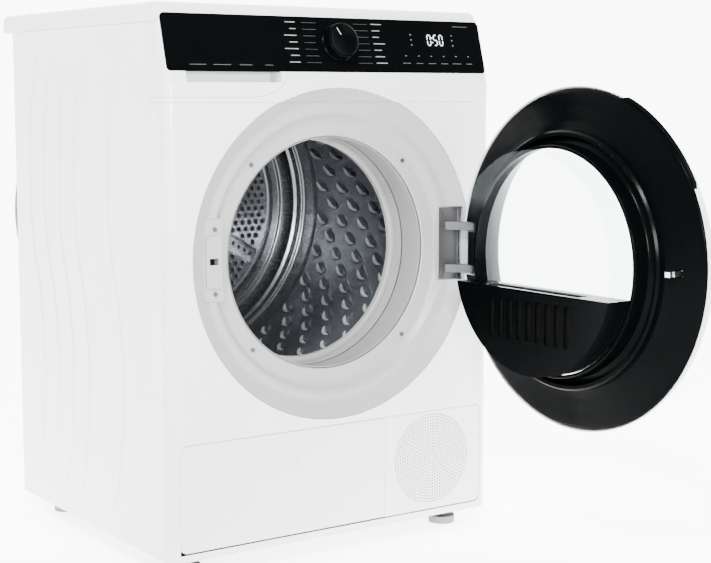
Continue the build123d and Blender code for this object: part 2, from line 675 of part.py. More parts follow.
# ---- front bulkhead: carries the door passage and the drum's front edge ----
BULKHEAD_HALF = 292.0
BULKHEAD_LOW = 215.0
BULKHEAD_TOP = 819.0
COLLAR_END = 113.0
PASSAGE_FRONT = 33.0
PASSAGE_KINK = 87.0
LIP_END = 118.0
LIP_WIDTH = 6.0
with BuildPart() as front_bulkhead:
    with BuildSketch(facing_front(BULKHEAD_DEPTH)):
        with Locations((0, (BULKHEAD_LOW + BULKHEAD_TOP) / 2)):
            Rectangle(2 * BULKHEAD_HALF, BULKHEAD_TOP - BULKHEAD_LOW)
        with Locations((0, DRUM_Z)):
            Circle(COLLAR_R - WALL, mode=Mode.SUBTRACT)
    extrude(amount=-WALL)
    tank_section(TANK_GAP + TANK_WALL + GAP, BULKHEAD_DEPTH - 1, WALL + 2, Mode.SUBTRACT)
    with BuildSketch(facing_front(BULKHEAD_DEPTH)):
        with Locations((0, DRUM_Z)):
            Circle(COLLAR_R)
            Circle(COLLAR_R - WALL, mode=Mode.SUBTRACT)
    extrude(amount=-(COLLAR_END - BULKHEAD_DEPTH))
    with BuildSketch(facing_front(COLLAR_END - WALL)):
        with Locations((0, DRUM_Z)):
            Circle(COLLAR_R)
        with Locations((0, DOOR_Z)):
            Circle(PASSAGE_REAR_R, mode=Mode.SUBTRACT)
    extrude(amount=-WALL)
    with BuildSketch(Plane.XY.offset(DOOR_Z)):
        with BuildLine():
            Polyline(
                (PASSAGE_R, FRONT + PASSAGE_FRONT),
                (PASSAGE_REAR_R, FRONT + PASSAGE_KINK),
                (PASSAGE_REAR_R, FRONT + COLLAR_END - WALL),
                (LIP_R, FRONT + COLLAR_END - WALL),
                (LIP_R, FRONT + LIP_END),
                (LIP_R + LIP_WIDTH, FRONT + LIP_END),
                (LIP_R + LIP_WIDTH, FRONT + COLLAR_END),
                (PASSAGE_REAR_R + WALL, FRONT + COLLAR_END),
                (PASSAGE_REAR_R + WALL, FRONT + PASSAGE_KINK),
                (PASSAGE_R + WALL, FRONT + PASSAGE_FRONT),
                close=True,
            )
        make_face()
    revolve(axis=Axis((0, 0, DOOR_Z), (0, 1, 0)))
save(front_bulkhead, "front_bulkhead")

FELT_R = 236.0
with BuildPart() as front_felt:
    with BuildSketch(facing_front(BULKHEAD_DEPTH + WALL + 1)):
        with Locations((0, DRUM_Z)):
            Circle(FELT_R)
            Circle(COLLAR_R, mode=Mode.SUBTRACT)
    extrude(amount=-(COLLAR_END - BULKHEAD_DEPTH - WALL - 1))
save(front_felt, "front_felt")

# ---- drum ------------------------------------------------------------------
DRUM_OUT_R = DRUM_R + SHEET
BACK_START = DRUM_REAR - SHEET
with BuildPart() as drum_shell:
    with BuildSketch(facing_front(DRUM_FRONT)):
        with Locations((0, DRUM_Z)):
            Circle(DRUM_OUT_R)
            Circle(DRUM_R, mode=Mode.SUBTRACT)
    extrude(amount=-(BACK_START - DRUM_FRONT))
    with BuildSketch(facing_front(DRUM_FRONT)):
        with Locations((0, DRUM_Z)):
            Circle(DRUM_OUT_R)
            Circle(FLANGE_R, mode=Mode.SUBTRACT)
    extrude(amount=-SHEET)
save(drum_shell, "drum_shell")

HOLE_R = 4.0
HOLE_RINGS = 5
HOLE_FIRST = 70.0
HOLE_PITCH = 30.0
with BuildPart() as drum_back:
    with BuildSketch(Plane.XY.offset(DRUM_Z)):
        with BuildLine():
            steps = [
                (0, BACK_START - STEP_DEPTH),
                (PLATE_R, BACK_START - STEP_DEPTH),
                (PLATE_R + 6, BACK_START - 3),
                (PLATE_R + 20, BACK_START - 3),
                (PLATE_R + 24, BACK_START - STEP_DEPTH),
                (PLATE_R + 40, BACK_START - STEP_DEPTH),
                (PLATE_R + 44, BACK_START),
                (DRUM_OUT_R, BACK_START),
            ]
            behind = [(r, d + SHEET) for r, d in reversed(steps)]
            Polyline(*[(r, FRONT + d) for r, d in steps + behind], close=True)
        make_face()
    revolve(axis=Axis((0, 0, DRUM_Z), (0, 1, 0)))
    with BuildSketch(facing_front(BACK_START - STEP_DEPTH - 1)):
        with Locations((0, DRUM_Z)):
            for ring in range(HOLE_RINGS):
                with PolarLocations(HOLE_FIRST + ring * HOLE_PITCH, 12 + 6 * ring):
                    Circle(HOLE_R)
    extrude(amount=-(SHEET + 2), mode=Mode.SUBTRACT)
save(drum_back, "drum_back")

HUB_R = 40.0
SPIDER_THICKNESS = 4.0
SPIDER_WIDTH = 34.0
with BuildPart() as drum_shaft:
    with BuildSketch(facing_front(BACK_START - STEP_DEPTH + SHEET)):
        with Locations((0, DRUM_Z)):
            Circle(HUB_R)
    extrude(amount=-(STEP_DEPTH + SPIDER_THICKNESS))
    with BuildSketch(facing_front(DRUM_REAR)):
        with Locations((0, DRUM_Z)):
            with PolarLocations(DRUM_R / 2, 3, start_angle=90):
                Rectangle(DRUM_R - 2, SPIDER_WIDTH)
    extrude(amount=-SPIDER_THICKNESS)
    with BuildSketch(facing_front(DRUM_REAR)):
        with Locations((0, DRUM_Z)):
            Circle(SHAFT_R)
    extrude(amount=-(SHAFT_REAR - DRUM_REAR))
save(drum_shaft, "drum_shaft")

BEARING_R = 45.0
with BuildPart() as bearing_housing:
    with BuildSketch(facing_front(DISH_BACK + SHEET)):
        with Locations((0, DRUM_Z)):
            Circle(BEARING_R)
            Circle(SHAFT_R + RUNNING, mode=Mode.SUBTRACT)
    extrude(amount=-(SHAFT_REAR - DISH_BACK - SHEET))
save(bearing_housing, "bearing_housing")

# ---- front support rollers on fixed axles ----------------------------------
ROLLER_ARM = DRUM_OUT_R + BELT_GAP + ROLLER_R
ROLLER_X = ROLLER_ARM * sin(radians(ROLLER_ANGLE))
ROLLER_Z = DRUM_Z - ROLLER_ARM * cos(radians(ROLLER_ANGLE))
for roller_side, roller_name in ((-1, "support_roller_left"), (1, "support_roller_right")):
    with BuildPart() as roller:
        with BuildSketch(facing_front(ROLLER_DEPTH)):
            with Locations((roller_side * ROLLER_X, ROLLER_Z)):
                Circle(ROLLER_R)
                Circle(AXLE_R + RUNNING, mode=Mode.SUBTRACT)
        extrude(amount=-ROLLER_WIDTH)
    save(roller, roller_name)

with BuildPart() as roller_axles:
    with BuildSketch(facing_front(BULKHEAD_DEPTH + WALL)):
        with Locations((-ROLLER_X, ROLLER_Z), (ROLLER_X, ROLLER_Z)):
            Circle(AXLE_R)
    extrude(amount=-(ROLLER_DEPTH + ROLLER_WIDTH + 6 - BULKHEAD_DEPTH - WALL))
    with BuildSketch(facing_front(BULKHEAD_DEPTH + WALL)):
        with Locations((-ROLLER_X, ROLLER_Z), (ROLLER_X, ROLLER_Z)):
            Circle(2 * AXLE_R)
    extrude(amount=-(ROLLER_DEPTH - GAP - BULKHEAD_DEPTH - WALL))
save(roller_axles, "roller_axles")

# ---- motor, belt, tensioner and blower -------------------------------------
PULLEY_OVERLAP = 3.0
SHAFT_FRONT = BELT_DEPTH - PULLEY_OVERLAP
BLOWER_START = BODY_DEPTH - 70.0
BLOWER_WALL = 2.5
WHEEL_START = BLOWER_START + 6
WHEEL_END = REAR_FACE - 10
FAN_BLADES = 16
with BuildPart() as motor_shaft:
    with BuildSketch(facing_front(SHAFT_FRONT)):
        with Locations((MOTOR_X, MOTOR_Z)):
            Circle(MOTOR_SHAFT_R)
    extrude(amount=-(WHEEL_END - SHAFT_FRONT))
    with BuildSketch(facing_front(SHAFT_FRONT)):
        with Locations((MOTOR_X, MOTOR_Z)):
            Circle(PULLEY_R)
    extrude(amount=-(BELT_WIDTH + 2 * PULLEY_OVERLAP))
save(motor_shaft, "motor_shaft")

with BuildPart() as blower_wheel:
    with BuildSketch(facing_front(WHEEL_END - WALL)):
        with Locations((MOTOR_X, MOTOR_Z)):
            Circle(BLOWER_R)
            Circle(MOTOR_SHAFT_R, mode=Mode.SUBTRACT)
    extrude(amount=-WALL)
    with BuildSketch(facing_front(WHEEL_START + 20)):
        with Locations((MOTOR_X, MOTOR_Z)):
            Circle(2 * MOTOR_SHAFT_R)
            Circle(MOTOR_SHAFT_R, mode=Mode.SUBTRACT)
    extrude(amount=-(WHEEL_END - WHEEL_START - 20))
    with BuildSketch(facing_front(WHEEL_START)):
        with Locations((MOTOR_X, MOTOR_Z)):
            with PolarLocations(BLOWER_R - 10, FAN_BLADES):
                Rectangle(18, BLOWER_WALL)
    extrude(amount=-(WHEEL_END - WHEEL_START))
save(blower_wheel, "blower_wheel")

BLOWER_GAP = 7.0
INLET_R = 36.0
with BuildPart() as blower_housing:
    with BuildSketch(facing_front(BLOWER_START)):
        with Locations((MOTOR_X, MOTOR_Z)):
            Circle(BLOWER_R + BLOWER_GAP + BLOWER_WALL)
    extrude(amount=-(REAR_FACE - SHEET - GAP - BLOWER_START))
    with BuildSketch(Plane.XY.offset(FLOOR_Z)):
        with Locations((MOTOR_X, FRONT + (BLOWER_START + REAR_FACE) / 2)):
            Rectangle(40, 40)
    extrude(amount=MOTOR_Z - FLOOR_Z)
    with BuildSketch(facing_front(BLOWER_START + BLOWER_WALL)):
        with Locations((MOTOR_X, MOTOR_Z)):
            Circle(BLOWER_R + BLOWER_GAP)
    extrude(amount=-(REAR_FACE - BLOWER_START), mode=Mode.SUBTRACT)
    with BuildSketch(facing_front(BLOWER_START - 1)):
        with Locations((MOTOR_X, MOTOR_Z)):
            Circle(INLET_R)
    extrude(amount=-(BLOWER_WALL + 2), mode=Mode.SUBTRACT)
save(blower_housing, "blower_housing")

BELT_IN_R = DRUM_OUT_R + BELT_GAP
BELT_OUT_R = BELT_IN_R + BELT_THICKNESS
BELT_IN_PULLEY = PULLEY_R + BELT_GAP
BELT_OUT_PULLEY = BELT_IN_PULLEY + BELT_THICKNESS
with BuildPart() as drive_belt:
    with BuildSketch(facing_front(BELT_DEPTH)):
        with Locations((0, DRUM_Z)):
            Circle(BELT_OUT_R)
        with Locations((MOTOR_X, MOTOR_Z)):
            Circle(BELT_OUT_PULLEY)
        make_hull()
    extrude(amount=-BELT_WIDTH)
    with BuildSketch(facing_front(BELT_DEPTH)):
        with Locations((0, DRUM_Z)):
            Circle(BELT_IN_R)
        with Locations((MOTOR_X, MOTOR_Z)):
            Circle(BELT_IN_PULLEY)
        make_hull()
    extrude(amount=-BELT_WIDTH, mode=Mode.SUBTRACT)
save(drive_belt, "drive_belt")

# The tensioner bears on the outside of the belt's lower run.
SPAN = hypot(MOTOR_X, DRUM_Z - MOTOR_Z)
LEAN_COS = (BELT_OUT_R - BELT_OUT_PULLEY) / SPAN
LEAN_SIN = sqrt(1 - LEAN_COS**2)
RUN_NX = (LEAN_COS * MOTOR_X - LEAN_SIN * (DRUM_Z - MOTOR_Z)) / SPAN
RUN_NZ = (-LEAN_COS * (DRUM_Z - MOTOR_Z) - LEAN_SIN * MOTOR_X) / SPAN
IDLER_ALONG = 50.0
IDLER_OFF = BELT_OUT_PULLEY + IDLER_R + BELT_GAP
IDLER_X = MOTOR_X + IDLER_OFF * RUN_NX + IDLER_ALONG * RUN_NZ
IDLER_Z = MOTOR_Z + IDLER_OFF * RUN_NZ - IDLER_ALONG * RUN_NX
IDLER_PIVOT_X = 95.0
IDLER_PIVOT_Z = 110.0
IDLER_BORE_R = 4.0
PIVOT_R = 5.0
ARM_THICKNESS = 4.0
ARM_START = BELT_DEPTH + BELT_WIDTH + PULLEY_OVERLAP
with BuildPart() as idler_pulley:
    with BuildSketch(facing_front(BELT_DEPTH - PULLEY_OVERLAP)):
        with Locations((IDLER_X, IDLER_Z)):
            Circle(IDLER_R)
            Circle(IDLER_BORE_R + RUNNING, mode=Mode.SUBTRACT)
    extrude(amount=-(BELT_WIDTH + 2 * PULLEY_OVERLAP - GAP))
save(idler_pulley, "idler_pulley")

with BuildPart() as idler_arm:
    with BuildSketch(facing_front(ARM_START)):
        with Locations((IDLER_PIVOT_X, IDLER_PIVOT_Z)):
            Circle(2 * PIVOT_R)
        with Locations((IDLER_X, IDLER_Z)):
            Circle(2 * IDLER_BORE_R)
        make_hull()
    extrude(amount=-ARM_THICKNESS)
    with BuildSketch(facing_front(BELT_DEPTH - PULLEY_OVERLAP)):
        with Locations((IDLER_X, IDLER_Z)):
            Circle(IDLER_BORE_R)
    extrude(amount=-(ARM_START - BELT_DEPTH + PULLEY_OVERLAP))
    with BuildSketch(facing_front(ARM_START)):
        with Locations((IDLER_PIVOT_X, IDLER_PIVOT_Z)):
            Circle(PIVOT_R + RUNNING)
    extrude(amount=-ARM_THICKNESS, mode=Mode.SUBTRACT)
save(idler_arm, "idler_arm")

# The motor's front bracket carries the tensioner's pivot pin.
BRACKET_FRONT = ARM_START + ARM_THICKNESS + GAP
with BuildPart() as motor_body:
    with BuildSketch(facing_front(MOTOR_FRONT)):
        with Locations((MOTOR_X, MOTOR_Z)):
            Circle(MOTOR_R)
    extrude(amount=-(MOTOR_REAR - MOTOR_FRONT))
    with BuildSketch(Plane.XY.offset(FLOOR_Z)):
        with Locations((MOTOR_X, FRONT + (MOTOR_FRONT + MOTOR_REAR) / 2)):
            Rectangle(MOTOR_R, MOTOR_REAR - MOTOR_FRONT - 20)
    extrude(amount=MOTOR_Z - FLOOR_Z)
    with BuildSketch(facing_front(BRACKET_FRONT)):
        with Locations((IDLER_PIVOT_X, IDLER_PIVOT_Z)):
            Circle(2 * PIVOT_R)
        with Locations((MOTOR_X, MOTOR_Z)):
            Circle(MOTOR_R / 2)
        make_hull()
    extrude(amount=-(MOTOR_FRONT - BRACKET_FRONT))
    with BuildSketch(facing_front(ARM_START - 1)):
        with Locations((IDLER_PIVOT_X, IDLER_PIVOT_Z)):
            Circle(PIVOT_R)
    extrude(amount=-(BRACKET_FRONT - ARM_START + 2))
    with BuildSketch(facing_front(BRACKET_FRONT - 1)):
        with Locations((MOTOR_X, MOTOR_Z)):
            Circle(MOTOR_SHAFT_R + RUNNING)
    extrude(amount=-(MOTOR_REAR - BRACKET_FRONT + 2), mode=Mode.SUBTRACT)
save(motor_body, "motor_body")

# ---- heat pump on the base -------------------------------------------------
PIPE_R = 4.0
TUNNEL_WALL = 2.5
TUNNEL_MIDDLE = (TUNNEL_LEFT + TUNNEL_RIGHT) / 2
FIN_LEFT = TUNNEL_LEFT + 14
FIN_RIGHT = TUNNEL_RIGHT - 14
FIN_LOW = 55.0
FIN_TOP = 165.0
FINS = 20
FIN_THICKNESS = 2.0
with BuildPart() as exchanger_housing:
    with BuildSketch(Plane.XY.offset(FLOOR_Z)):
        with Locations((TUNNEL_MIDDLE, FRONT + (TUNNEL_START + TUNNEL_END) / 2)):
            Rectangle(TUNNEL_RIGHT - TUNNEL_LEFT, TUNNEL_END - TUNNEL_START)
    extrude(amount=TUNNEL_TOP - FLOOR_Z)
    with BuildSketch(facing_front(TUNNEL_START)):
        with Locations((TUNNEL_MIDDLE, (FLOOR_Z + TUNNEL_TOP) / 2)):
            Rectangle(
                TUNNEL_RIGHT - TUNNEL_LEFT - 2 * TUNNEL_WALL,
                TUNNEL_TOP - FLOOR_Z - 2 * TUNNEL_WALL,
            )
    extrude(amount=-(TUNNEL_END - TUNNEL_START - TUNNEL_WALL), mode=Mode.SUBTRACT)
    with BuildSketch(Plane.YZ.offset(TUNNEL_RIGHT)):
        with Locations((FRONT + TUNNEL_END - 40, (FIN_LOW + FIN_TOP) / 2)):
            Rectangle(60, 70)
    extrude(amount=-2 * TUNNEL_WALL, mode=Mode.SUBTRACT)
save(exchanger_housing, "exchanger_housing")

COVER_START = TUNNEL_START - 6.0
with BuildPart() as exchanger_cover:
    with BuildSketch(facing_front(COVER_START)):
        with Locations((TUNNEL_MIDDLE, (FLOOR_Z + TUNNEL_TOP) / 2)):
            Rectangle(TUNNEL_RIGHT - TUNNEL_LEFT, TUNNEL_TOP - FLOOR_Z - 1)
    extrude(amount=-(TUNNEL_START - COVER_START - GAP))
    with BuildSketch(facing_front(COVER_START)):
        with Locations((TUNNEL_MIDDLE, (FLOOR_Z + TUNNEL_TOP) / 2)):
            Rectangle(TUNNEL_RIGHT - TUNNEL_LEFT - 20, TUNNEL_TOP - FLOOR_Z - 21)
    extrude(amount=-WALL, mode=Mode.SUBTRACT)
save(exchanger_cover, "exchanger_cover")

FIN_PITCH = (FIN_RIGHT - FIN_LEFT) / (FINS - 1)
for coil_name, coil_start, coil_end in (("evaporator", 120.0, 220.0), ("condenser", 240.0, 340.0)):
    with BuildPart() as coil:
        with BuildSketch(facing_front(coil_start)):
            with Locations((TUNNEL_MIDDLE, (FIN_LOW + FIN_TOP) / 2)):
                with GridLocations(FIN_PITCH, 1, FINS, 1):
                    Rectangle(FIN_THICKNESS, FIN_TOP - FIN_LOW)
        extrude(amount=-(coil_end - coil_start))
        with BuildSketch(Plane.YZ.offset(FIN_LEFT)):
            with Locations((FRONT + (coil_start + coil_end) / 2, (FIN_LOW + FIN_TOP) / 2)):
                with GridLocations(50, 50, 2, 2):
                    Circle(PIPE_R)
        extrude(amount=FIN_RIGHT - FIN_LEFT)
        with BuildSketch(Plane.XY.offset(FLOOR_Z + TUNNEL_WALL)):
            with Locations((TUNNEL_MIDDLE, FRONT + (coil_start + coil_end) / 2)):
                Rectangle(FIN_RIGHT - FIN_LEFT, 20)
        extrude(amount=FIN_LOW + 2 - FLOOR_Z - TUNNEL_WALL)
    save(coil, coil_name)

COMPRESSOR_BASE = 58.0
with BuildPart() as compressor:
    with BuildSketch(Plane.XY.offset(COMPRESSOR_BASE)):
        with Locations((COMPRESSOR_X, FRONT + COMPRESSOR_DEPTH)):
            Circle(COMPRESSOR_R)
    extrude(amount=COMPRESSOR_TOP - COMPRESSOR_BASE)
    fillet(compressor.faces().sort_by(Axis.Z)[-1].edges(), 20)
    with BuildSketch(Plane.XY.offset(COMPRESSOR_BASE - 3)):
        with Locations((COMPRESSOR_X, FRONT + COMPRESSOR_DEPTH)):
            RectangleRounded(130, 130, 12)
    extrude(amount=3)
    with BuildSketch(Plane.XY.offset(FLOOR_Z)):
        with Locations((COMPRESSOR_X, FRONT + COMPRESSOR_DEPTH)):
            with GridLocations(104, 104, 2, 2):
                Circle(10)
    extrude(amount=COMPRESSOR_BASE - 3 - FLOOR_Z)
save(compressor, "compressor")

# ---- lower front: frame, service flap with its button, and air grille ------
KICK_MIDDLE_Z = (KICK_BOTTOM + KICK_TOP) / 2
KICK_HEIGHT = KICK_TOP - KICK_BOTTOM
FRAME_START = SHEET + GAP
FRAME_END = 30.0
FRAME_SIDE = 2.0
FRAME_WALL = 6.0
SWEEP_ROOM = 3.0
POST_WIDTH = 6.0
PLATE = 3.0
with BuildPart() as kick_frame:
    with BuildSketch(facing_front(FRAME_START)):
        with Locations((0, KICK_MIDDLE_Z)):
            Rectangle(2 * (KICK_HALF + FRAME_SIDE + FRAME_WALL), KICK_HEIGHT + 2 * FRAME_WALL + 4)
            Rectangle(
                2 * (KICK_HALF + FRAME_SIDE), KICK_HEIGHT + 2 * SWEEP_ROOM, mode=Mode.SUBTRACT
            )
    extrude(amount=-(FRAME_END - FRAME_START))
    with BuildSketch(Plane.XY.offset(FOOT_CLEARANCE)):
        with Locations((0, FRONT + WRAP)):
            RectangleRounded(
                WIDTH - 2 * FRAME_START, 2 * (WRAP - FRAME_START), CORNER_R - FRAME_START
            )
    extrude(amount=KICK_TOP, mode=Mode.INTERSECT)
    with BuildSketch(facing_front(PLATE + GAP)):
        with Locations((KICK_SPLIT_X + GAP + POST_WIDTH / 2, KICK_MIDDLE_Z)):
            Rectangle(POST_WIDTH, KICK_HEIGHT + 3 * SWEEP_ROOM)
    extrude(amount=-(FRAME_END - PLATE - GAP))
    with BuildSketch(Plane.YZ.offset(-KICK_HALF - FRAME_SIDE - FRAME_WALL + 1)):
        with Locations((FRONT + FLAP_PIVOT_DEPTH, FLAP_PIVOT_Z)):
            Circle(FLAP_PIN_R + RUNNING)
    extrude(amount=KICK_HALF + KICK_SPLIT_X + POST_WIDTH + FRAME_WALL, mode=Mode.SUBTRACT)
save(kick_frame, "kick_frame")


def kick_plate(left, right):
    """A stretch of the rounded plate that closes the lower front opening."""
    with BuildSketch(facing_front(0)) as outline:
        with Locations((0, KICK_MIDDLE_Z)):
            RectangleRounded(2 * KICK_HALF, KICK_HEIGHT, KICK_R)
        with Locations(((left + right) / 2, KICK_MIDDLE_Z)):
            Rectangle(right - left, 2 * KICK_HEIGHT, mode=Mode.INTERSECT)
    extrude(outline.sketch, amount=-PLATE)


BUTTON_FIT = 0.4
BUTTON_FLANGE = 3.0
COLLAR_DEPTH = 5.5
EAR = 5.0
FLAP_RIGHT = KICK_SPLIT_X - GAP
with BuildPart() as service_flap:
    kick_plate(-KICK_HALF, FLAP_RIGHT)
    fillet(service_flap.faces().sort_by(Axis.Y)[0].edges().sort_by(Axis.Z)[0], 2.5)
    with BuildSketch(facing_front(PLATE)):
        with Locations((BUTTON_X, BUTTON_Z)):
            Rectangle(BUTTON_W + 2 * BUTTON_FLANGE, BUTTON_H + 2 * BUTTON_FLANGE)
    extrude(amount=-(COLLAR_DEPTH - PLATE))
    with BuildSketch(facing_front(-1)):
        with Locations((BUTTON_X, BUTTON_Z)):
            Rectangle(BUTTON_W + 2 * BUTTON_FIT, BUTTON_H + 2 * BUTTON_FIT)
    extrude(amount=-(COLLAR_DEPTH + 1), mode=Mode.SUBTRACT)
    with BuildSketch(facing_front(PLATE)):
        with Locations(
            (-KICK_HALF + KICK_R + EAR / 2, FLAP_PIVOT_Z),
            (FLAP_RIGHT - EAR / 2, FLAP_PIVOT_Z),
        ):
            Rectangle(EAR, 2 * EAR - 2)
    extrude(amount=-(FLAP_PIVOT_DEPTH + FLAP_PIN_R + 1 - PLATE))
    for pin_start, pin_end in (
        (-KICK_HALF - FRAME_SIDE - 4, -KICK_HALF + KICK_R + 1),
        (FLAP_RIGHT - 1, FLAP_RIGHT + 2 * GAP + 3.5),
    ):
        with BuildSketch(Plane.YZ.offset(pin_start)):
            with Locations((FRONT + FLAP_PIVOT_DEPTH, FLAP_PIVOT_Z)):
                Circle(FLAP_PIN_R)
        extrude(amount=pin_end - pin_start)
save(service_flap, "service_flap")

with BuildPart() as flap_button:
    with BuildSketch(facing_front(GAP / 2)):
        with Locations((BUTTON_X, BUTTON_Z)):
            Rectangle(BUTTON_W, BUTTON_H)
    extrude(amount=-(COLLAR_DEPTH + 1.5))
    with BuildSketch(facing_front(COLLAR_DEPTH + 0.3)):
        with Locations((BUTTON_X, BUTTON_Z)):
            Rectangle(BUTTON_W + 2 * BUTTON_FLANGE - 1, BUTTON_H + 2 * BUTTON_FLANGE - 1)
    extrude(amount=-1.5)
save(flap_button, "flap_button")

with BuildPart() as air_grille:
    kick_plate(KICK_SPLIT_X + GAP, KICK_HALF)
    with BuildSketch(facing_front(-1)):
        with Locations((GRILLE_X, GRILLE_Z)):
            Circle(GRILLE_HOLE_R)
            for ring in range(1, GRILLE_RINGS + 1):
                with PolarLocations(ring * GRILLE_PITCH, 6 * ring):
                    Circle(GRILLE_HOLE_R)
    extrude(amount=-(PLATE + 2), mode=Mode.SUBTRACT)
save(air_grille, "air_grille")

# ---- rear fittings: drain spigot with its plug, and the cord inlet ---------
SPIGOT_END = BODY_DEPTH + 26.0
SPIGOT_BORE = 5.0
SPIGOT_FLANGE_R = 17.5
with BuildPart() as drain_spigot:
    with BuildSketch(facing_front(REAR_FACE - 12)):
        with Locations((DRAIN_X, DRAIN_Z)):
            Circle(DRAIN_R)
    extrude(amount=-(SPIGOT_END - REAR_FACE + 12))
    with BuildSketch(facing_front(REAR_FACE)):
        with Locations((DRAIN_X, DRAIN_Z)):
            Circle(SPIGOT_FLANGE_R)
    extrude(amount=-6)
    with BuildSketch(facing_front(REAR_FACE - 13)):
        with Locations((DRAIN_X, DRAIN_Z)):
            Circle(SPIGOT_BORE)
    extrude(amount=-(SPIGOT_END - REAR_FACE + 14), mode=Mode.SUBTRACT)
save(drain_spigot, "drain_spigot")

with BuildPart() as drain_plug:
    with BuildSketch(facing_front(SPIGOT_END - 10)):
        with Locations((DRAIN_X, DRAIN_Z)):
            Circle(SPIGOT_BORE)
    extrude(amount=-10)
    with BuildSketch(facing_front(SPIGOT_END)):
        with Locations((DRAIN_X, DRAIN_Z)):
            Circle(DRAIN_R - 0.5)
    extrude(amount=-8)
save(drain_plug, "drain_plug")

with BuildPart() as cord_gland:
    with BuildSketch(facing_front(REAR_FACE - 10)):
        with Locations((GLAND_X, GLAND_Z)):
            Circle(GLAND_R + WALL - 0.2)
    extrude(amount=-10)
    with BuildSketch(facing_front(REAR_FACE)):
        with Locations((GLAND_X, GLAND_Z)):
            Circle(2 * GLAND_R)
    extrude(amount=-6)
    with BuildSketch(facing_front(REAR_FACE - 11)):
        with Locations((GLAND_X, GLAND_Z)):
            Circle(GLAND_R)
    extrude(amount=-(SHEET + 18), mode=Mode.SUBTRACT)
save(cord_gland, "cord_gland")

# ---- latch plate, hinge bracket and screws on the dish ---------------------
LATCH_PLATE_Z = 471.5
LATCH_PLATE_START = 15.0
LATCH_PLATE_HEIGHT = 77.0
SLOT_W = 15.0
SLOT_H = 10.0
HINGE_Y = FRONT - HINGE_FORWARD
EYE_R = 8.0
BRACKET_START = 16.0
BRACKET_WIDTH = 36.0
BRACKET_HEIGHT = 116.0
with BuildPart() as latch_plate:
    with BuildSketch(facing_front(LATCH_PLATE_START)):
        with Locations((LATCH_SLOT_X, LATCH_PLATE_Z)):
            RectangleRounded(26, LATCH_PLATE_HEIGHT, 3)
        with Locations((LATCH_SLOT_X, LATCH_SLOT_Z)):
            Rectangle(SLOT_W, SLOT_H, mode=Mode.SUBTRACT)
    extrude(amount=-(POCKET_FLOOR - LATCH_PLATE_START))
save(latch_plate, "latch_plate")

ARM_MIDDLES = (HINGE_Z - ARM_SPREAD / 2, HINGE_Z + ARM_SPREAD / 2)
with BuildPart() as hinge_bracket:
    with BuildSketch(facing_front(BRACKET_START)):
        with Locations((HINGE_POCKET[0], HINGE_POCKET[1])):
            Rectangle(BRACKET_WIDTH, BRACKET_HEIGHT)
    extrude(amount=-(POCKET_FLOOR - BRACKET_START))
    for arm_middle in ARM_MIDDLES:
        with BuildSketch(Plane.XY.offset(arm_middle - ARM_HEIGHT / 2)):
            with Locations((HINGE_X, HINGE_Y)):
                Circle(EYE_R)
            with Locations((HINGE_POCKET[0] + 2, FRONT + BRACKET_START - 1)):
                Rectangle(20, 4)
            make_hull()
            with Locations((HINGE_X, HINGE_Y)):
                Circle(PIN_R + RUNNING, mode=Mode.SUBTRACT)
        extrude(amount=ARM_HEIGHT)
save(hinge_bracket, "hinge_bracket")

SCREW_R = 3.5
SCREW_HEIGHT = 1.6
RING_SCREW_R = 198.0
RING_SCREW_DEPTH = RING_DEPTH + 0.5 + 1.5 * (RING_R - 1 - RING_SCREW_R - SCREW_R) / 22
with BuildPart() as screws:
    with BuildSketch(facing_front(RING_SCREW_DEPTH - SCREW_HEIGHT)):
        with Locations((0, DOOR_Z)):
            with PolarLocations(RING_SCREW_R, 4, start_angle=45):
                Circle(SCREW_R)
    extrude(amount=-SCREW_HEIGHT)
    with BuildSketch(facing_front(BRACKET_START - SCREW_HEIGHT)):
        with Locations((HINGE_POCKET[0] - 8, 525.0), (HINGE_POCKET[0] - 8, 424.0)):
            Circle(SCREW_R)
    extrude(amount=-SCREW_HEIGHT)
    with BuildSketch(facing_front(POCKET_FLOOR - SCREW_HEIGHT)):
        with Locations((LATCH_SLOT_X + 3, 520.0), (LATCH_SLOT_X + 3, 424.0)):
            Circle(SCREW_R)
    extrude(amount=-SCREW_HEIGHT)
save(screws, "screws")

# ---- door, built where it stands: swung open about the hinge axis ----------
SWING_COS = cos(radians(DOOR_REST_ANGLE))
SWING_SIN = sin(radians(DOOR_REST_ANGLE))
DOOR_X = HINGE_X - HINGE_X * SWING_COS - HINGE_FORWARD * SWING_SIN
DOOR_Y = HINGE_Y - HINGE_X * SWING_SIN + HINGE_FORWARD * SWING_COS
DOOR_MIDDLE = (DOOR_X, DOOR_Y, DOOR_Z)
DOOR_OUT = (SWING_SIN, -SWING_COS, 0)
DOOR_ACROSS = (SWING_COS, SWING_SIN, 0)


def door_plane(out):
    """A plane facing out of the door, at a distance before the front face."""
    return Plane(origin=DOOR_MIDDLE, x_dir=DOOR_ACROSS, z_dir=DOOR_OUT).offset(out)


def door_level(height):
    """A level plane with x across the closed door and y out of it."""
    level = Plane(origin=DOOR_MIDDLE, x_dir=DOOR_ACROSS, z_dir=(0, 0, -1))
    return level.offset(DOOR_Z - height)


def door_ring(*points):
    """Revolves a closed profile of (radius, distance out) about the door."""
    with BuildSketch(door_level(DOOR_Z)) as section:
        with BuildLine():
            Polyline(*points, close=True)
        make_face()
    revolve(section.sketch, axis=Axis(DOOR_MIDDLE, DOOR_OUT))


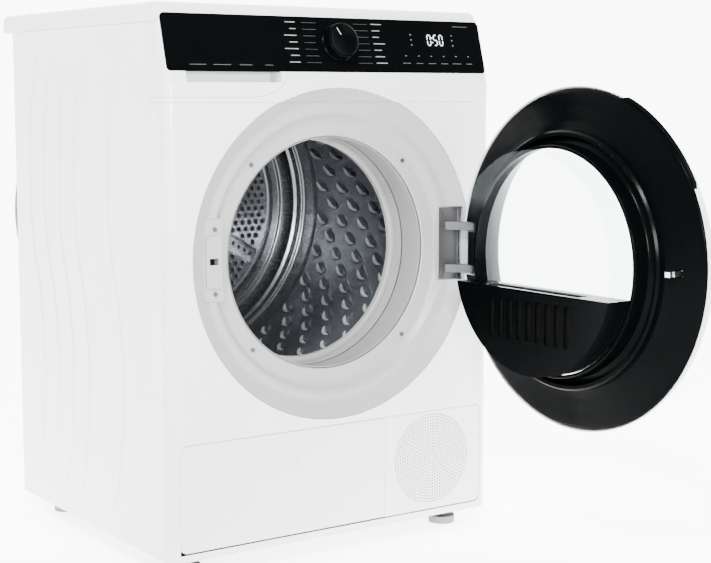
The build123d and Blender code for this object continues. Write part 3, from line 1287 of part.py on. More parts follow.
WINDOW_R = 205.0
WINDOW_FIT = 0.4
DOOR_FRONT = DOOR_BACK + DOOR_THICKNESS
ARM_ROOM = 1.5
NOTCH_FROM = HINGE_X - EYE_R - ARM_ROOM
with BuildPart() as door_cover:
    door_ring(
        (WINDOW_R + WINDOW_FIT, DOOR_FRONT),
        (DOOR_R - 33, DOOR_FRONT),
        (DOOR_R - 24, DOOR_FRONT - 1.5),
        (DOOR_R - 12, DOOR_FRONT - 7),
        (DOOR_R - 5, DOOR_FRONT - 14),
        (DOOR_R - 2, DOOR_FRONT - 20),
        (DOOR_R, DOOR_BACK + 2),
        (DOOR_R, DOOR_BACK),
        (DOOR_R - WALL, DOOR_BACK),
        (DOOR_R - WALL - 2, DOOR_FRONT - 20),
        (DOOR_R - WALL - 5.5, DOOR_FRONT - 15),
        (DOOR_R - WALL - 12, DOOR_FRONT - 9),
        (DOOR_R - WALL - 23, DOOR_FRONT - 4.2),
        (DOOR_R - 33, DOOR_FRONT - WALL),
        (WINDOW_R + WINDOW_FIT, DOOR_FRONT - WALL),
    )
    with BuildSketch(door_plane(-1)):
        for arm_middle in ARM_MIDDLES:
            with Locations((NOTCH_FROM + 20, arm_middle - DOOR_Z)):
                Rectangle(40, ARM_HEIGHT + 2 * ARM_ROOM)
        with Locations((NOTCH_FROM + 20, HINGE_Z - DOOR_Z)):
            Rectangle(40, ARM_SPREAD)
    extrude(amount=HINGE_FORWARD + EYE_R + ARM_ROOM + 3, mode=Mode.SUBTRACT)
save(door_cover, "door_cover")

SHELL_R = DOOR_R - WALL - 1.2
SHELL_KINK_R = 205.0
SHELL_KINK = -10.0
SHELL_CORNER_R = 176.0
SEAT_R = BOWL_R + 0.3
THROAT_START = -PLUG_START - 3
THROAT_R = WINDOW_R - 1
THROAT_END = DOOR_FRONT - 3.4
HOOK_X = -212.5
HOOK_W = 9.0
HOOK_H = 7.0
with BuildPart() as door_inner_shell:
    door_ring(
        (SHELL_R, DOOR_BACK + 1),
        (SHELL_R - 5, 0),
        (SHELL_KINK_R, SHELL_KINK),
        (SHELL_CORNER_R, -PLUG_START),
        (PLUG_R, -PLUG_START - 3),
        (PLUG_R, -PLUG_DEPTH),
        (SEAT_R, -PLUG_DEPTH),
        (SEAT_R, -PLUG_DEPTH + WALL),
        (PLUG_R - WALL, -PLUG_DEPTH + WALL),
        (PLUG_R - WALL, -PLUG_START - 2),
        (SHELL_CORNER_R - 0.5, -PLUG_START + WALL),
        (SHELL_KINK_R, SHELL_KINK + WALL),
        (SHELL_R - 5, WALL),
        (SHELL_R, DOOR_BACK + 1 + WALL),
    )
    door_ring(
        (PLUG_R - WALL, THROAT_START - 2),
        (PLUG_R - WALL, THROAT_START),
        (THROAT_R, THROAT_END),
        (THROAT_R + WALL, THROAT_END),
        (PLUG_R, THROAT_START),
        (PLUG_R, THROAT_START - 2),
    )
    with BuildSketch(door_plane(-PLUG_START)):
        for arm_middle in ARM_MIDDLES:
            with Locations((SHELL_KINK_R + 29, arm_middle - DOOR_Z)):
                Rectangle(64, ARM_HEIGHT + 2 * ARM_ROOM)
        with Locations((NOTCH_FROM + 18, HINGE_Z - DOOR_Z)):
            Rectangle(40, ARM_SPREAD)
        with Locations((HOOK_X, LATCH_SLOT_Z - DOOR_Z)):
            Rectangle(HOOK_W + 3, HOOK_H + 3)
    extrude(amount=PLUG_START + 8, mode=Mode.SUBTRACT)
save(door_inner_shell, "door_inner_shell")

with BuildPart() as door_window:
    with BuildSketch(door_plane(DOOR_FRONT - 3)):
        Circle(WINDOW_R)
    extrude(amount=3)
save(door_window, "door_window")

PANE_OUT = -46.0
SHELF_DROP = SHELF_Z - DOOR_Z
BOWL_BOX = 400.0
with BuildPart() as door_bowl:
    with BuildSketch(door_plane(PANE_OUT)):
        Circle(BOWL_R)
    extrude(amount=-(BOWL_DEPTH + PANE_OUT))
    with BuildSketch(door_plane(PANE_OUT - BOWL_WALL)):
        Circle(BOWL_R - BOWL_WALL)
    extrude(amount=-BOWL_DEPTH, mode=Mode.SUBTRACT)
    with BuildSketch(door_plane(0)):
        with Locations((0, SHELF_DROP + GAP - BOWL_BOX / 2)):
            Rectangle(BOWL_BOX, BOWL_BOX)
    extrude(amount=-2 * BOWL_DEPTH, mode=Mode.SUBTRACT)
save(door_bowl, "door_bowl")

FILTER_HALF = 95.0
FILTER_OUT = -64.0
FILTER_IN = -84.0
FILTER_LOW = 345.0
FILTER_TOP = SHELF_Z - 1
FILTER_FIT = 1.0
HOUSING_FRONT = -54.0


def below_shelf(top):
    """Keeps only what lies below a height, in the door's own directions."""
    with BuildSketch(door_plane(0)) as keep:
        with Locations((0, top - DOOR_Z - BOWL_BOX / 2)):
            Rectangle(BOWL_BOX, BOWL_BOX)
    extrude(keep.sketch, amount=-2 * BOWL_DEPTH, mode=Mode.INTERSECT)


with BuildPart() as filter_hollow:
    with BuildSketch(door_plane(HOUSING_FRONT - WALL)):
        Circle(BOWL_R - WALL)
    extrude(amount=-(BOWL_DEPTH + HOUSING_FRONT - 2 * WALL))
    below_shelf(SHELF_Z - WALL)

SLOTS = 9
SLOT_PITCH = 20.0
with BuildPart() as filter_housing:
    with BuildSketch(door_plane(PANE_OUT)):
        Circle(BOWL_R)
    extrude(amount=-(BOWL_DEPTH + PANE_OUT))
    below_shelf(SHELF_Z)
    add(filter_hollow.part, mode=Mode.SUBTRACT)
    with BuildSketch(door_plane(FILTER_OUT + FILTER_FIT)):
        with Locations((0, SHELF_DROP)):
            Rectangle(2 * (FILTER_HALF + FILTER_FIT), 4 * WALL)
    extrude(amount=FILTER_IN - FILTER_OUT - 2 * FILTER_FIT, mode=Mode.SUBTRACT)
    with BuildSketch(door_plane(-BOWL_DEPTH - 1)):
        with Locations((0, (FILTER_LOW + FILTER_TOP) / 2 - DOOR_Z)):
            with GridLocations(SLOT_PITCH, 1, SLOTS, 1):
                Rectangle(SLOT_PITCH / 2, 60)
    extrude(amount=WALL + 2, mode=Mode.SUBTRACT)
save(filter_housing, "filter_housing")

FRAME_BAR = 4.0
with BuildPart() as lint_filter:
    with BuildSketch(door_plane(FILTER_OUT)):
        with Locations((0, (FILTER_LOW + FILTER_TOP) / 2 - DOOR_Z)):
            Rectangle(2 * FILTER_HALF, FILTER_TOP - FILTER_LOW)
    extrude(amount=FILTER_IN - FILTER_OUT)
    with BuildSketch(door_level(FILTER_LOW + FRAME_BAR)):
        with Locations((0, (FILTER_OUT + FILTER_IN) / 2)):
            Rectangle(2 * (FILTER_HALF - FRAME_BAR), FILTER_OUT - FILTER_IN - 2 * FRAME_BAR)
    extrude(amount=-(FILTER_TOP - FILTER_LOW), mode=Mode.SUBTRACT)
save(lint_filter, "lint_filter")

SEAL_IN_R = 184.0
SEAL_OUT_R = 194.0
SEAL_FACE = -27.5
SHELL_FALL = (PLUG_START + SHELL_KINK) / (SHELL_KINK_R - SHELL_CORNER_R)
with BuildPart() as door_seal:
    door_ring(
        (SEAL_IN_R, SHELL_KINK - (SHELL_KINK_R - SEAL_IN_R) * SHELL_FALL),
        (SEAL_OUT_R, SHELL_KINK - (SHELL_KINK_R - SEAL_OUT_R) * SHELL_FALL),
        (SEAL_OUT_R - 1, SEAL_FACE + 3),
        (SEAL_OUT_R - 4, SEAL_FACE),
        (SEAL_IN_R + 1, SEAL_FACE),
        (SEAL_IN_R, SEAL_FACE + 1),
    )
save(door_seal, "door_seal")

HOOK_TIP = -30.0
HOOK_ROOT = -2.0
with BuildPart() as latch_hook:
    with BuildSketch(door_plane(HOOK_TIP)):
        with Locations((HOOK_X, LATCH_SLOT_Z - DOOR_Z)):
            Rectangle(HOOK_W, HOOK_H)
    extrude(amount=HOOK_ROOT - HOOK_TIP)
    with BuildSketch(door_plane(HOOK_ROOT)):
        with Locations((HOOK_X, LATCH_SLOT_Z - DOOR_Z)):
            Rectangle(22, 20)
    extrude(amount=2)
    with BuildSketch(door_plane(HOOK_TIP + 5)):
        with Locations((HOOK_X - HOOK_W / 2, LATCH_SLOT_Z - DOOR_Z)):
            Rectangle(5, HOOK_H + 2)
    extrude(amount=5, mode=Mode.SUBTRACT)
save(latch_hook, "latch_hook")

BLOCK_HEIGHT = ARM_SPREAD - ARM_HEIGHT - 1
PIN_LENGTH = ARM_SPREAD + ARM_HEIGHT + 3
AXIS_OUT = HINGE_FORWARD
with BuildPart() as door_hinge:
    with BuildSketch(door_level(HINGE_Z + BLOCK_HEIGHT / 2)):
        with Locations((HINGE_X, AXIS_OUT)):
            Circle(EYE_R)
        with Locations((HINGE_X - 22, AXIS_OUT - 5)):
            Rectangle(24, 18)
        make_hull()
    extrude(amount=BLOCK_HEIGHT)
    with BuildSketch(Plane.XY.offset(HINGE_Z - PIN_LENGTH / 2)):
        with Locations((HINGE_X, HINGE_Y)):
            Circle(PIN_R)
    extrude(amount=PIN_LENGTH)
save(door_hinge, "door_hinge")
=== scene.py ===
from math import atan2, ceil, cos, hypot, pi, radians, sin, sqrt, tau

import bmesh
import bpy
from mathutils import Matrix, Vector


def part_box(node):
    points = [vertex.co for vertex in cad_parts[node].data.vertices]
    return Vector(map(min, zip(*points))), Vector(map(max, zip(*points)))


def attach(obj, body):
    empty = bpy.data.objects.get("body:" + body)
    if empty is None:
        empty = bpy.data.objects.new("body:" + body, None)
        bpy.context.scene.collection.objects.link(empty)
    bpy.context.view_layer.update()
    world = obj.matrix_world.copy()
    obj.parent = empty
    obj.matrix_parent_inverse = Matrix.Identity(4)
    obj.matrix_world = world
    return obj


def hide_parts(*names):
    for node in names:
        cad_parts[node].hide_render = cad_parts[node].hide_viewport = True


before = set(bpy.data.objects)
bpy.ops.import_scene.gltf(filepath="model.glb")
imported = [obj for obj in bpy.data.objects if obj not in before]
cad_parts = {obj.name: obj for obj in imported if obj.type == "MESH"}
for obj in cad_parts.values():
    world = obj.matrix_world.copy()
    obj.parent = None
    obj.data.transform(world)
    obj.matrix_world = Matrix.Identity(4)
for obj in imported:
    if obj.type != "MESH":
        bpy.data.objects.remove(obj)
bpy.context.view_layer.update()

# Every length below is in millimetres unless it is handed to Blender; MM turns it into metres.
MM = 0.001
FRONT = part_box("front_panel")[0].y / MM
DOOR_Z = 472.7
DRUM_Z = 515.0
HINGE = (250.0, FRONT - 16.0)
DOOR_ANGLE = radians(91.5)
SEAM = 705.8


# ---------------------------------------------------------------- materials
M = {}
PANE_SHINE = 0.018


def material(name):
    """A new node material, kept in M; returns it with its tree and Principled node."""
    mat = bpy.data.materials.new(name)
    mat.use_nodes = True
    M[name] = mat
    tree = mat.node_tree
    return mat, tree, tree.nodes["Principled BSDF"]


def noise(tree, scale, detail=4.0):
    """A noise texture in object coordinates, in cells per metre."""
    place = tree.nodes.new("ShaderNodeTexCoord")
    tex = tree.nodes.new("ShaderNodeTexNoise")
    tex.inputs["Scale"].default_value = scale
    tex.inputs["Detail"].default_value = detail
    tree.links.new(place.outputs["Object"], tex.inputs["Vector"])
    return tex


def spread(tree, source, low, high, target):
    """Maps the middle of a 0..1 texture to a range and links it to a socket."""
    ramp = tree.nodes.new("ShaderNodeMapRange")
    ramp.inputs["From Min"].default_value = 0.3
    ramp.inputs["From Max"].default_value = 0.7
    ramp.inputs["To Min"].default_value = low
    ramp.inputs["To Max"].default_value = high
    tree.links.new(source, ramp.inputs["Value"])
    tree.links.new(ramp.outputs["Result"], target)


def bump(tree, source, strength, distance, shader):
    """A fine relief from a texture, its distance in metres."""
    node = tree.nodes.new("ShaderNodeBump")
    node.inputs["Strength"].default_value = strength
    node.inputs["Distance"].default_value = distance
    tree.links.new(source, node.inputs["Height"])
    tree.links.new(node.outputs["Normal"], shader.inputs["Normal"])


def blend_colour(tree, source, dark, light, target):
    """Blends two colours by a texture and links the result to a socket."""
    mix = tree.nodes.new("ShaderNodeMix")
    mix.data_type = "RGBA"
    mix.inputs[6].default_value = (*dark, 1)
    mix.inputs[7].default_value = (*light, 1)
    tree.links.new(source, mix.inputs[0])
    tree.links.new(mix.outputs[2], target)


def coated(name, dark, light, rough, grain, depth, metal=0.0, coat=0.0, shine=0.5):
    """Paint, plastic, rubber or metal: colour, gloss and a fine relief all vary."""
    mat, tree, shader = material(name)
    fine = noise(tree, grain, 5.0)
    broad = noise(tree, 9.0, 3.0)
    blend_colour(tree, broad.outputs["Fac"], dark, light, shader.inputs["Base Color"])
    spread(tree, fine.outputs["Fac"], rough * 0.85, rough * 1.2, shader.inputs["Roughness"])
    bump(tree, fine.outputs["Fac"], 0.35, depth, shader)
    shader.inputs["Metallic"].default_value = metal
    shader.inputs["Specular IOR Level"].default_value = shine
    shader.inputs["Coat Weight"].default_value = coat
    shader.inputs["Coat Roughness"].default_value = 0.08
    return mat


def clear(name, tint, ior, rough):
    """A thin clear pane: mostly lets light through, reflects more at a glance."""
    _, tree, shader = material(name)
    tree.nodes.remove(shader)
    through = tree.nodes.new("ShaderNodeBsdfTransparent")
    through.inputs["Color"].default_value = (*tint, 1)
    gloss = tree.nodes.new("ShaderNodeBsdfGlossy")
    wear = noise(tree, 260.0)
    spread(tree, wear.outputs["Fac"], rough * 0.6, rough * 1.4, gloss.inputs["Roughness"])
    edge = tree.nodes.new("ShaderNodeFresnel")
    edge.inputs["IOR"].default_value = ior
    faint = tree.nodes.new("ShaderNodeMath")
    faint.operation = "MULTIPLY"
    faint.inputs[1].default_value = PANE_SHINE
    tree.links.new(edge.outputs["Fac"], faint.inputs[0])
    mix = tree.nodes.new("ShaderNodeMixShader")
    tree.links.new(faint.outputs["Value"], mix.inputs["Fac"])
    tree.links.new(through.outputs["BSDF"], mix.inputs[1])
    tree.links.new(gloss.outputs["BSDF"], mix.inputs[2])
    out = tree.nodes["Material Output"]
    tree.links.new(mix.outputs["Shader"], out.inputs["Surface"])


def glow(name, colour, strength):
    """A lit display segment."""
    _, tree, shader = material(name)
    shader.inputs["Base Color"].default_value = (*colour, 1)
    flicker = noise(tree, 400.0)
    emission = shader.inputs["Emission Strength"]
    spread(tree, flicker.outputs["Fac"], strength * 0.9, strength * 1.1, emission)
    shader.inputs["Emission Color"].default_value = (*colour, 1)


# Each line: darkest and lightest colour, roughness, cells of grain per metre, relief in metres.
coated("enamel", (0.60, 0.605, 0.615), (0.64, 0.645, 0.65), 0.24, 900.0, 0.00002, coat=0.5)
coated("side", (0.60, 0.605, 0.62), (0.64, 0.645, 0.655), 0.30, 700.0, 0.00003, coat=0.4)
coated("white", (0.59, 0.595, 0.605), (0.63, 0.635, 0.64), 0.34, 1400.0, 0.00003)
coated("glossblack", (0.0007, 0.0009, 0.001), (0.001, 0.0013, 0.0014), 0.14, 500.0, 0.00001,
       shine=0.014)
coated("black", (0.0005, 0.0007, 0.0008), (0.0009, 0.0012, 0.0013), 0.20, 600.0, 0.00001,
       shine=0.02)
coated("matt", (0.004, 0.004, 0.0045), (0.007, 0.007, 0.008), 0.55, 1800.0, 0.00008, shine=0.08)
coated("grey", (0.42, 0.42, 0.41), (0.50, 0.50, 0.48), 0.45, 1500.0, 0.00005)
coated("passage", (0.22, 0.218, 0.215), (0.26, 0.258, 0.255), 0.38, 1200.0, 0.00003)
coated("felt", (0.50, 0.48, 0.44), (0.62, 0.60, 0.56), 0.95, 2600.0, 0.0004)
coated("drum", (0.15, 0.16, 0.18), (0.17, 0.18, 0.20), 0.24, 900.0, 0.000002, metal=0.8)
# A lighter copy of the drum steel: painted highlight for the strips beside the drops.
coated("crest_painted_highlight", (0.42, 0.43, 0.46), (0.50, 0.51, 0.54), 0.30, 900.0, 0.000003, metal=0.45)
coated("drumback", (0.13, 0.135, 0.145), (0.17, 0.175, 0.185), 0.24, 900.0, 0.000003, metal=0.85)
coated("zinc", (0.46, 0.47, 0.48), (0.60, 0.61, 0.62), 0.40, 60.0, 0.00005, metal=0.9)
# A darkened copy of zinc: painted shade for the space behind the drum.
coated("zinc_painted_shade", (0.045, 0.045, 0.047), (0.075, 0.075, 0.078), 0.5, 60.0, 0.00005, metal=0.6)
coated("steel", (0.60, 0.60, 0.61), (0.72, 0.72, 0.73), 0.18, 700.0, 0.00003, metal=1.0)
# A grey for the white plastic dish, latch plate and pockets: the grey is painted shade for the recess
# round the opening.
coated("dish_painted_shade", (0.25, 0.25, 0.255), (0.28, 0.28, 0.285), 0.36, 1300.0, 0.00003, shine=0.35)
coated("bracket", (0.07, 0.07, 0.073), (0.11, 0.11, 0.113), 0.45, 500.0, 0.00005, metal=0.8)
coated("cast", (0.02, 0.02, 0.022), (0.05, 0.05, 0.052), 0.5, 400.0, 0.0003)
coated("alu", (0.68, 0.69, 0.70), (0.80, 0.80, 0.81), 0.35, 500.0, 0.00005, metal=1.0)
coated("rubber", (0.010, 0.010, 0.010), (0.022, 0.022, 0.022), 0.7, 1500.0, 0.0001)
coated("greyrubber", (0.16, 0.16, 0.16), (0.24, 0.24, 0.24), 0.7, 1500.0, 0.0001)
coated("board", (0.01, 0.08, 0.03), (0.02, 0.16, 0.06), 0.35, 900.0, 0.0001)
coated("tank", (0.60, 0.63, 0.66), (0.70, 0.73, 0.76), 0.3, 900.0, 0.00004)
coated("mesh", (0.0012, 0.0012, 0.0013), (0.003, 0.003, 0.0032), 0.7, 2400.0, 0.0004, shine=0.05)
clear("clear", (0.93, 0.95, 0.955), 1.28, 0.03)
clear("window", (0.985, 0.988, 0.99), 1.12, 0.03)
# Near-black: the grille and spoke discs use it as painted shade, and the dish joint as its own colour.
coated("dark", (0.012, 0.012, 0.013), (0.030, 0.030, 0.032), 0.8, 300.0, 0.0001)
coated("ink", (0.16, 0.165, 0.17), (0.22, 0.225, 0.23), 0.5, 900.0, 0.00001, shine=0.05)
coated("dimink", (0.045, 0.046, 0.05), (0.06, 0.062, 0.066), 0.5, 900.0, 0.00001, shine=0.05)
glow("digit", (0.85, 0.92, 1.0), 0.9)


# ---------------------------------------------------------------- mesh helpers
def piece(name, verts, faces, mat, body, cad=(), slot=None, smooth=40.0):
    """Makes a mesh object from points in millimetres, and lets it ride on a body."""
    mesh = bpy.data.meshes.new(name)
    mesh.from_pydata([Vector(v) * MM for v in verts], [], faces)
    bm = bmesh.new()
    bm.from_mesh(mesh)
    bmesh.ops.remove_doubles(bm, verts=bm.verts, dist=1e-6)
    bmesh.ops.recalc_face_normals(bm, faces=bm.faces)
    bm.to_mesh(mesh)
    bm.free()
    obj = bpy.data.objects.new(name, mesh)
    bpy.context.scene.collection.objects.link(obj)
    mesh.materials.append(M[mat])
    soften(obj, smooth)
    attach(obj, body)
    if cad:
        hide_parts(*cad)
    return obj


def soften(obj, angle):
    """Smooth shading, with edges kept where faces meet at more than an angle."""
    mesh = obj.data
    bm = bmesh.new()
    bm.from_mesh(mesh)
    for face in bm.faces:
        face.smooth = True
    for edge in bm.edges:
        edge.smooth = len(edge.link_faces) == 2 and edge.calc_face_angle(0) < radians(angle)
    bm.to_mesh(mesh)
    bm.free()


def rounded(points, radius, steps=4, closed=False):
    """A polyline with its corners rounded."""
    out = []
    count = len(points)
    for i, p in enumerate(points):
        if not closed and i in (0, count - 1):
            out.append(p)
            continue
        a, b = points[i - 1], points[(i + 1) % count]
        la, lb = hypot(a[0] - p[0], a[1] - p[1]), hypot(b[0] - p[0], b[1] - p[1])
        cut = min(radius, la * 0.45, lb * 0.45)
        start = [p[k] + (a[k] - p[k]) * cut / la for k in (0, 1)]
        end = [p[k] + (b[k] - p[k]) * cut / lb for k in (0, 1)]
        for s in range(steps + 1):
            t = s / steps
            w = ((1 - t) ** 2, 2 * t * (1 - t), t * t)
            out.append(tuple(w[0] * start[k] + w[1] * p[k] + w[2] * end[k] for k in (0, 1)))
    return out


def row_point(r, angle, depth, centre_z):
    """A point at a radius round a front-to-back axis, at a depth behind the front."""
    return (r * sin(angle), FRONT + depth, centre_z + r * cos(angle))


def door_point(x, z, out):
    """A point given on the shut door, swung to where the door stands open."""
    dx, dy = x - HINGE[0], FRONT - out - HINGE[1]
    c, s = cos(DOOR_ANGLE), sin(DOOR_ANGLE)
    return (HINGE[0] + dx * c - dy * s, HINGE[1] + dx * s + dy * c, z)


def weave(rows, across, base=0, closed=False, ring=False):
    """Quads between rows of points.

    Closed joins the last row to the first, and ring joins each row's own two ends.
    """
    faces = []
    for i in range(rows if closed else rows - 1):
        a, b = base + i * across, base + (i + 1) % rows * across
        for k in range(across if ring else across - 1):
            l = (k + 1) % across
            faces.append((a + k, a + l, b + l, b + k))
    return faces


def lathe(name, profile, mat, body, centre_z=DOOR_Z, door=False, closed=True, segments=192, **more):
    """Revolves (radius, depth) points; on the door the second value is how far out."""
    verts = []
    for i in range(segments):
        angle = tau * i / segments
        for r, d in profile:
            if door:
                verts.append(door_point(r * sin(angle), DOOR_Z + r * cos(angle), d))
            else:
                verts.append(row_point(r, angle, d, centre_z))
    faces = weave(segments, len(profile), closed=True, ring=closed)
    return piece(name, verts, faces, mat, body, **more)


def loop_solid(name, loops, mat, body, **more):
    """Joins rings of equally many points into one closed skin, ends filled."""
    n = len(loops[0])
    verts = [p for loop in loops for p in loop]
    ends = [tuple(range(n - 1, -1, -1)), tuple(range((len(loops) - 1) * n, len(loops) * n))]
    return piece(name, verts, ends + weave(len(loops), n, ring=True), mat, body, **more)


BOX_FACES = [(0, 1, 3, 2), (4, 6, 7, 5), (0, 4, 5, 1), (2, 3, 7, 6), (0, 2, 6, 4), (1, 5, 7, 3)]


def carve(obj, boxes, on_door=False):
    """Cuts boxes, given by low and high corners in millimetres, out of a piece.

    On the door the corners are (x, out, z) on the shut door, and the boxes swing open with it.
    """
    for low, high in boxes:
        corners = [
            (x, y, z) for x in (low[0], high[0]) for y in (low[1], high[1]) for z in (low[2], high[2])
        ]
        if on_door:
            corners = [door_point(x, z, out) for x, out, z in corners]
        mesh = bpy.data.meshes.new("cutter")
        mesh.from_pydata([Vector(c) * MM for c in corners], [], BOX_FACES)
        bm = bmesh.new()
        bm.from_mesh(mesh)
        bmesh.ops.recalc_face_normals(bm, faces=bm.faces)
        bm.to_mesh(mesh)
        bm.free()
        cutter = bpy.data.objects.new("cutter", mesh)
        bpy.context.scene.collection.objects.link(cutter)
        mod = obj.modifiers.new("cut", "BOOLEAN")
        mod.operation = "DIFFERENCE"
        mod.solver = "EXACT"
        mod.object = cutter
        bpy.context.view_layer.update()
        dg = bpy.context.evaluated_depsgraph_get()
        made = bpy.data.meshes.new_from_object(obj.evaluated_get(dg))
        obj.modifiers.clear()
        old = obj.data
        obj.data = made
        bpy.data.meshes.remove(old)
        bpy.data.objects.remove(cutter)
        bpy.data.meshes.remove(mesh)
    soften(obj, 35.0)


def ramp(value, span):
    """0 to 1 as a value runs from 0 over a span, held at both ends."""
    return min(max(value / span, 0), 1)


def ease(t):
    """A smooth step from 0 to 1."""
    return t * t * (3 - 2 * t)


# ---------------------------------------------------------------- carried-over CAD nodes
FINISH = {
    "enamel": ["front_panel"],
    # The white latch plate takes the dish grey as painted shade.
    "dish_painted_shade": ["latch_plate"],
    "white": ["top_panel", "fascia_carrier", "tank_front", "service_flap", "flap_button"],
    "glossblack": ["control_glass", "tank_trim"],
    "black": ["filter_housing", "door_seal"],
    # The kick frame's near-black is painted shade, so the seams round the service flap show dark.
    "matt": ["kick_frame", "base_tray", "idler_pulley", "cord_gland"],
    "passage": ["front_bulkhead"],
    "felt": ["front_felt"],
    "grey": [
        "blower_housing", "exchanger_housing", "exchanger_cover", "tank_guide", "blower_wheel",
        "drain_spigot",
    ],
    # The rear panel and rear duct cover take zinc darkened as painted shade.
    "zinc_painted_shade": ["rear_panel", "rear_duct_cover"],
    "zinc": ["motor_body", "idler_arm"],
    "steel": ["roller_axles", "drum_shaft", "motor_shaft", "latch_hook"],
    "bracket": ["hinge_bracket", "door_hinge", "screws"],
    "cast": ["bearing_housing", "compressor"],
    "alu": ["evaporator", "condenser"],
    "rubber": ["drive_belt", "drain_plug"],
    "greyrubber": [
        "foot_front_left", "foot_front_right", "foot_rear_left", "foot_rear_right",
        "support_roller_left", "support_roller_right",
    ],
    "board": ["control_board"],
    "tank": ["water_tank"],
    "mesh": ["lint_filter"],
    "clear": ["door_bowl"],
    "window": ["door_window"],
}
for finish, names in FINISH.items():
    for node in names:
        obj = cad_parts[node]
        obj.data.materials.clear()
        obj.data.materials.append(M[finish])
        soften(obj, 25.0)

# ---------------------------------------------------------------- side panels with pressed waves
RIBS = (140.0, 262.0, 320.0, 378.0, 435.0)
# How far down from a rib's top, and how far back the rib has run there.
WAVE = (
    (0, 0), (66, 24), (137, 35), (252, 40), (330, 29), (372, 14),
    (447, 1), (502, -3), (582, 3), (657, 17), (719, 38),
)
RIB_TOP = 787.0
RIB_FOOT = 64.0
RIB_FADE = 16.0
RIB_HALF = 10.0
RIB_FLANK = 4.5
RIB_REACH = 12
PRESS = 2.0
HALF_WIDTH = 300.0
SKIN = 1.0
PANEL_COLS, PANEL_ROWS = 40, 130


def wave(drop):
    """How far back a rib has run, a smooth curve through the listed points."""
    drop = min(max(drop, 0), WAVE[-1][0])
    for i in range(len(WAVE) - 1):
        if drop <= WAVE[i + 1][0]:
            break
    p = [WAVE[max(0, min(len(WAVE) - 1, i + k))] for k in (-1, 0, 1, 2)]
    h = p[2][0] - p[1][0]
    t = (drop - p[1][0]) / h
    slope_a = (p[2][1] - p[0][1]) / max(p[2][0] - p[0][0], 1) * h
    slope_b = (p[3][1] - p[1][1]) / max(p[3][0] - p[1][0], 1) * h
    return (
        p[1][1] * (2 * t**3 - 3 * t**2 + 1) + slope_a * (t**3 - 2 * t**2 + t)
        + p[2][1] * (3 * t**2 - 2 * t**3) + slope_b * (t**3 - t**2)
    )


def clear_of_ribs(depth):
    """True where a depth is away from every rib."""
    return min(abs(depth - r) for r in RIBS) > RIB_REACH + 1


def side_panel(side, node):
    """The pressed skin of one side: -1 is the left, 1 the right."""
    low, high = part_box(node)
    start, end = (low.y / MM - FRONT), (high.y / MM - FRONT)
    bottom, top = low.z / MM, high.z / MM
    near_ribs = [r + k for r in RIBS for k in range(-RIB_REACH, RIB_REACH + 1)]
    plain = [start + (end - start) * i / PANEL_COLS for i in range(PANEL_COLS + 1)]
    cols = sorted(set(near_ribs + [d for d in plain if clear_of_ribs(d)] + [start, end]))
    rows = [bottom + (top - bottom) * i / PANEL_ROWS for i in range(PANEL_ROWS + 1)]
    outer, inner = [], []
    for z in rows:
        fade = ease(ramp(RIB_TOP + 4 - z, RIB_FADE) * ramp(z - RIB_FOOT, RIB_FADE))
        for d in cols:
            pull = ramp(d - start, RIBS[0] - 20 - start) * ramp(end - d, end - RIBS[-1] - 12)
            y = d + wave(RIB_TOP - z) * pull
            near = min(abs(d - r) for r in RIBS)
            press = ease(ramp(RIB_HALF - near, RIB_FLANK))
            x = side * (HALF_WIDTH - PRESS * press * fade)
            outer.append((x, FRONT + y, z))
            inner.append((x - side * SKIN, FRONT + y, z))
    n, m = len(cols), len(rows)
    total = n * m
    faces = []
    for j in range(m - 1):
        for i in range(n - 1):
            a = j * n + i
            faces.append((a, a + 1, a + n + 1, a + n))
            faces.append((total + a, total + a + n, total + a + n + 1, total + a + 1))
    rim = (
        list(range(n)) + [j * n + n - 1 for j in range(1, m)]
        + [(m - 1) * n + i for i in range(n - 2, -1, -1)] + [j * n for j in range(m - 2, 0, -1)]
    )
    for a, b in zip(rim, rim[1:] + rim[:1]):
        faces.append((a, total + a, total + b, b))
    name = "side_skin_left" if side < 0 else "side_skin_right"
    piece(name, outer + inner, faces, "side", "cabinet", cad=[node], slot="side_enamel")


side_panel(-1, "left_side_panel")
side_panel(1, "right_side_panel")

# ---------------------------------------------------------------- dish round the opening
DISH = rounded(
    [
        (256.3, 0.15), (252.5, 2.6), (234, 14.6), (229, 16.3), (225, 15.9), (221, 15.9), (216, 17.4),
        (208.5, 26.2), (204, 28.3), (183, 29.8), (181.2, 31.5), (181.2, 32.3), (183, 32.6),
        (203, 31.4), (208, 30.5), (217, 21.0), (229, 19.4), (236, 17.4), (254, 5.6), (256.3, 2.4),
    ],
    2.2, closed=True,
)
# The dish skin is white plastic coloured grey as painted shade for the recess.
dish_painted_shade = lathe(
    "dish_skin", DISH, "dish_painted_shade", "cabinet", segments=256, cad=["door_bezel"], slot="white_plastic",
)
# Each pocket's centre x and z, width, height, and the depths of its outer and inner rim.
POCKETS = {
    "latch": (-213.5, 474.5, 37.0, 125.0, 17.0, 16.6),
    "hinge": (225.0, 477.0, 40.0, 120.0, 17.4, 17.2),
}
FAR_IN = FRONT + 40
cuts = [
    ((x - w / 2, FRONT - 2, z - h / 2), (x + w / 2, FAR_IN, z + h / 2))
    for x, z, w, h, _, _ in POCKETS.values()
]
seam_cut = ((-HALF_WIDTH, FRONT - 2, SEAM - 0.45), (HALF_WIDTH, FAR_IN, SEAM + 0.05))
carve(dish_painted_shade, cuts + [seam_cut])


def frame_loop(x, z, w, h, radius, depth, steps=6):
    """A rounded rectangle's points at a depth behind the front."""
    out = []
    for cx, cz, start in ((1, 1, 0), (-1, 1, 1), (-1, -1, 2), (1, -1, 3)):
        for s in range(steps + 1):
            a = (start + s / steps) * pi / 2
            out.append((
                x + cx * (w / 2 - radius) + radius * cos(a),
                FRONT + depth,
                z + cz * (h / 2 - radius) + radius * sin(a),
            ))
    return out


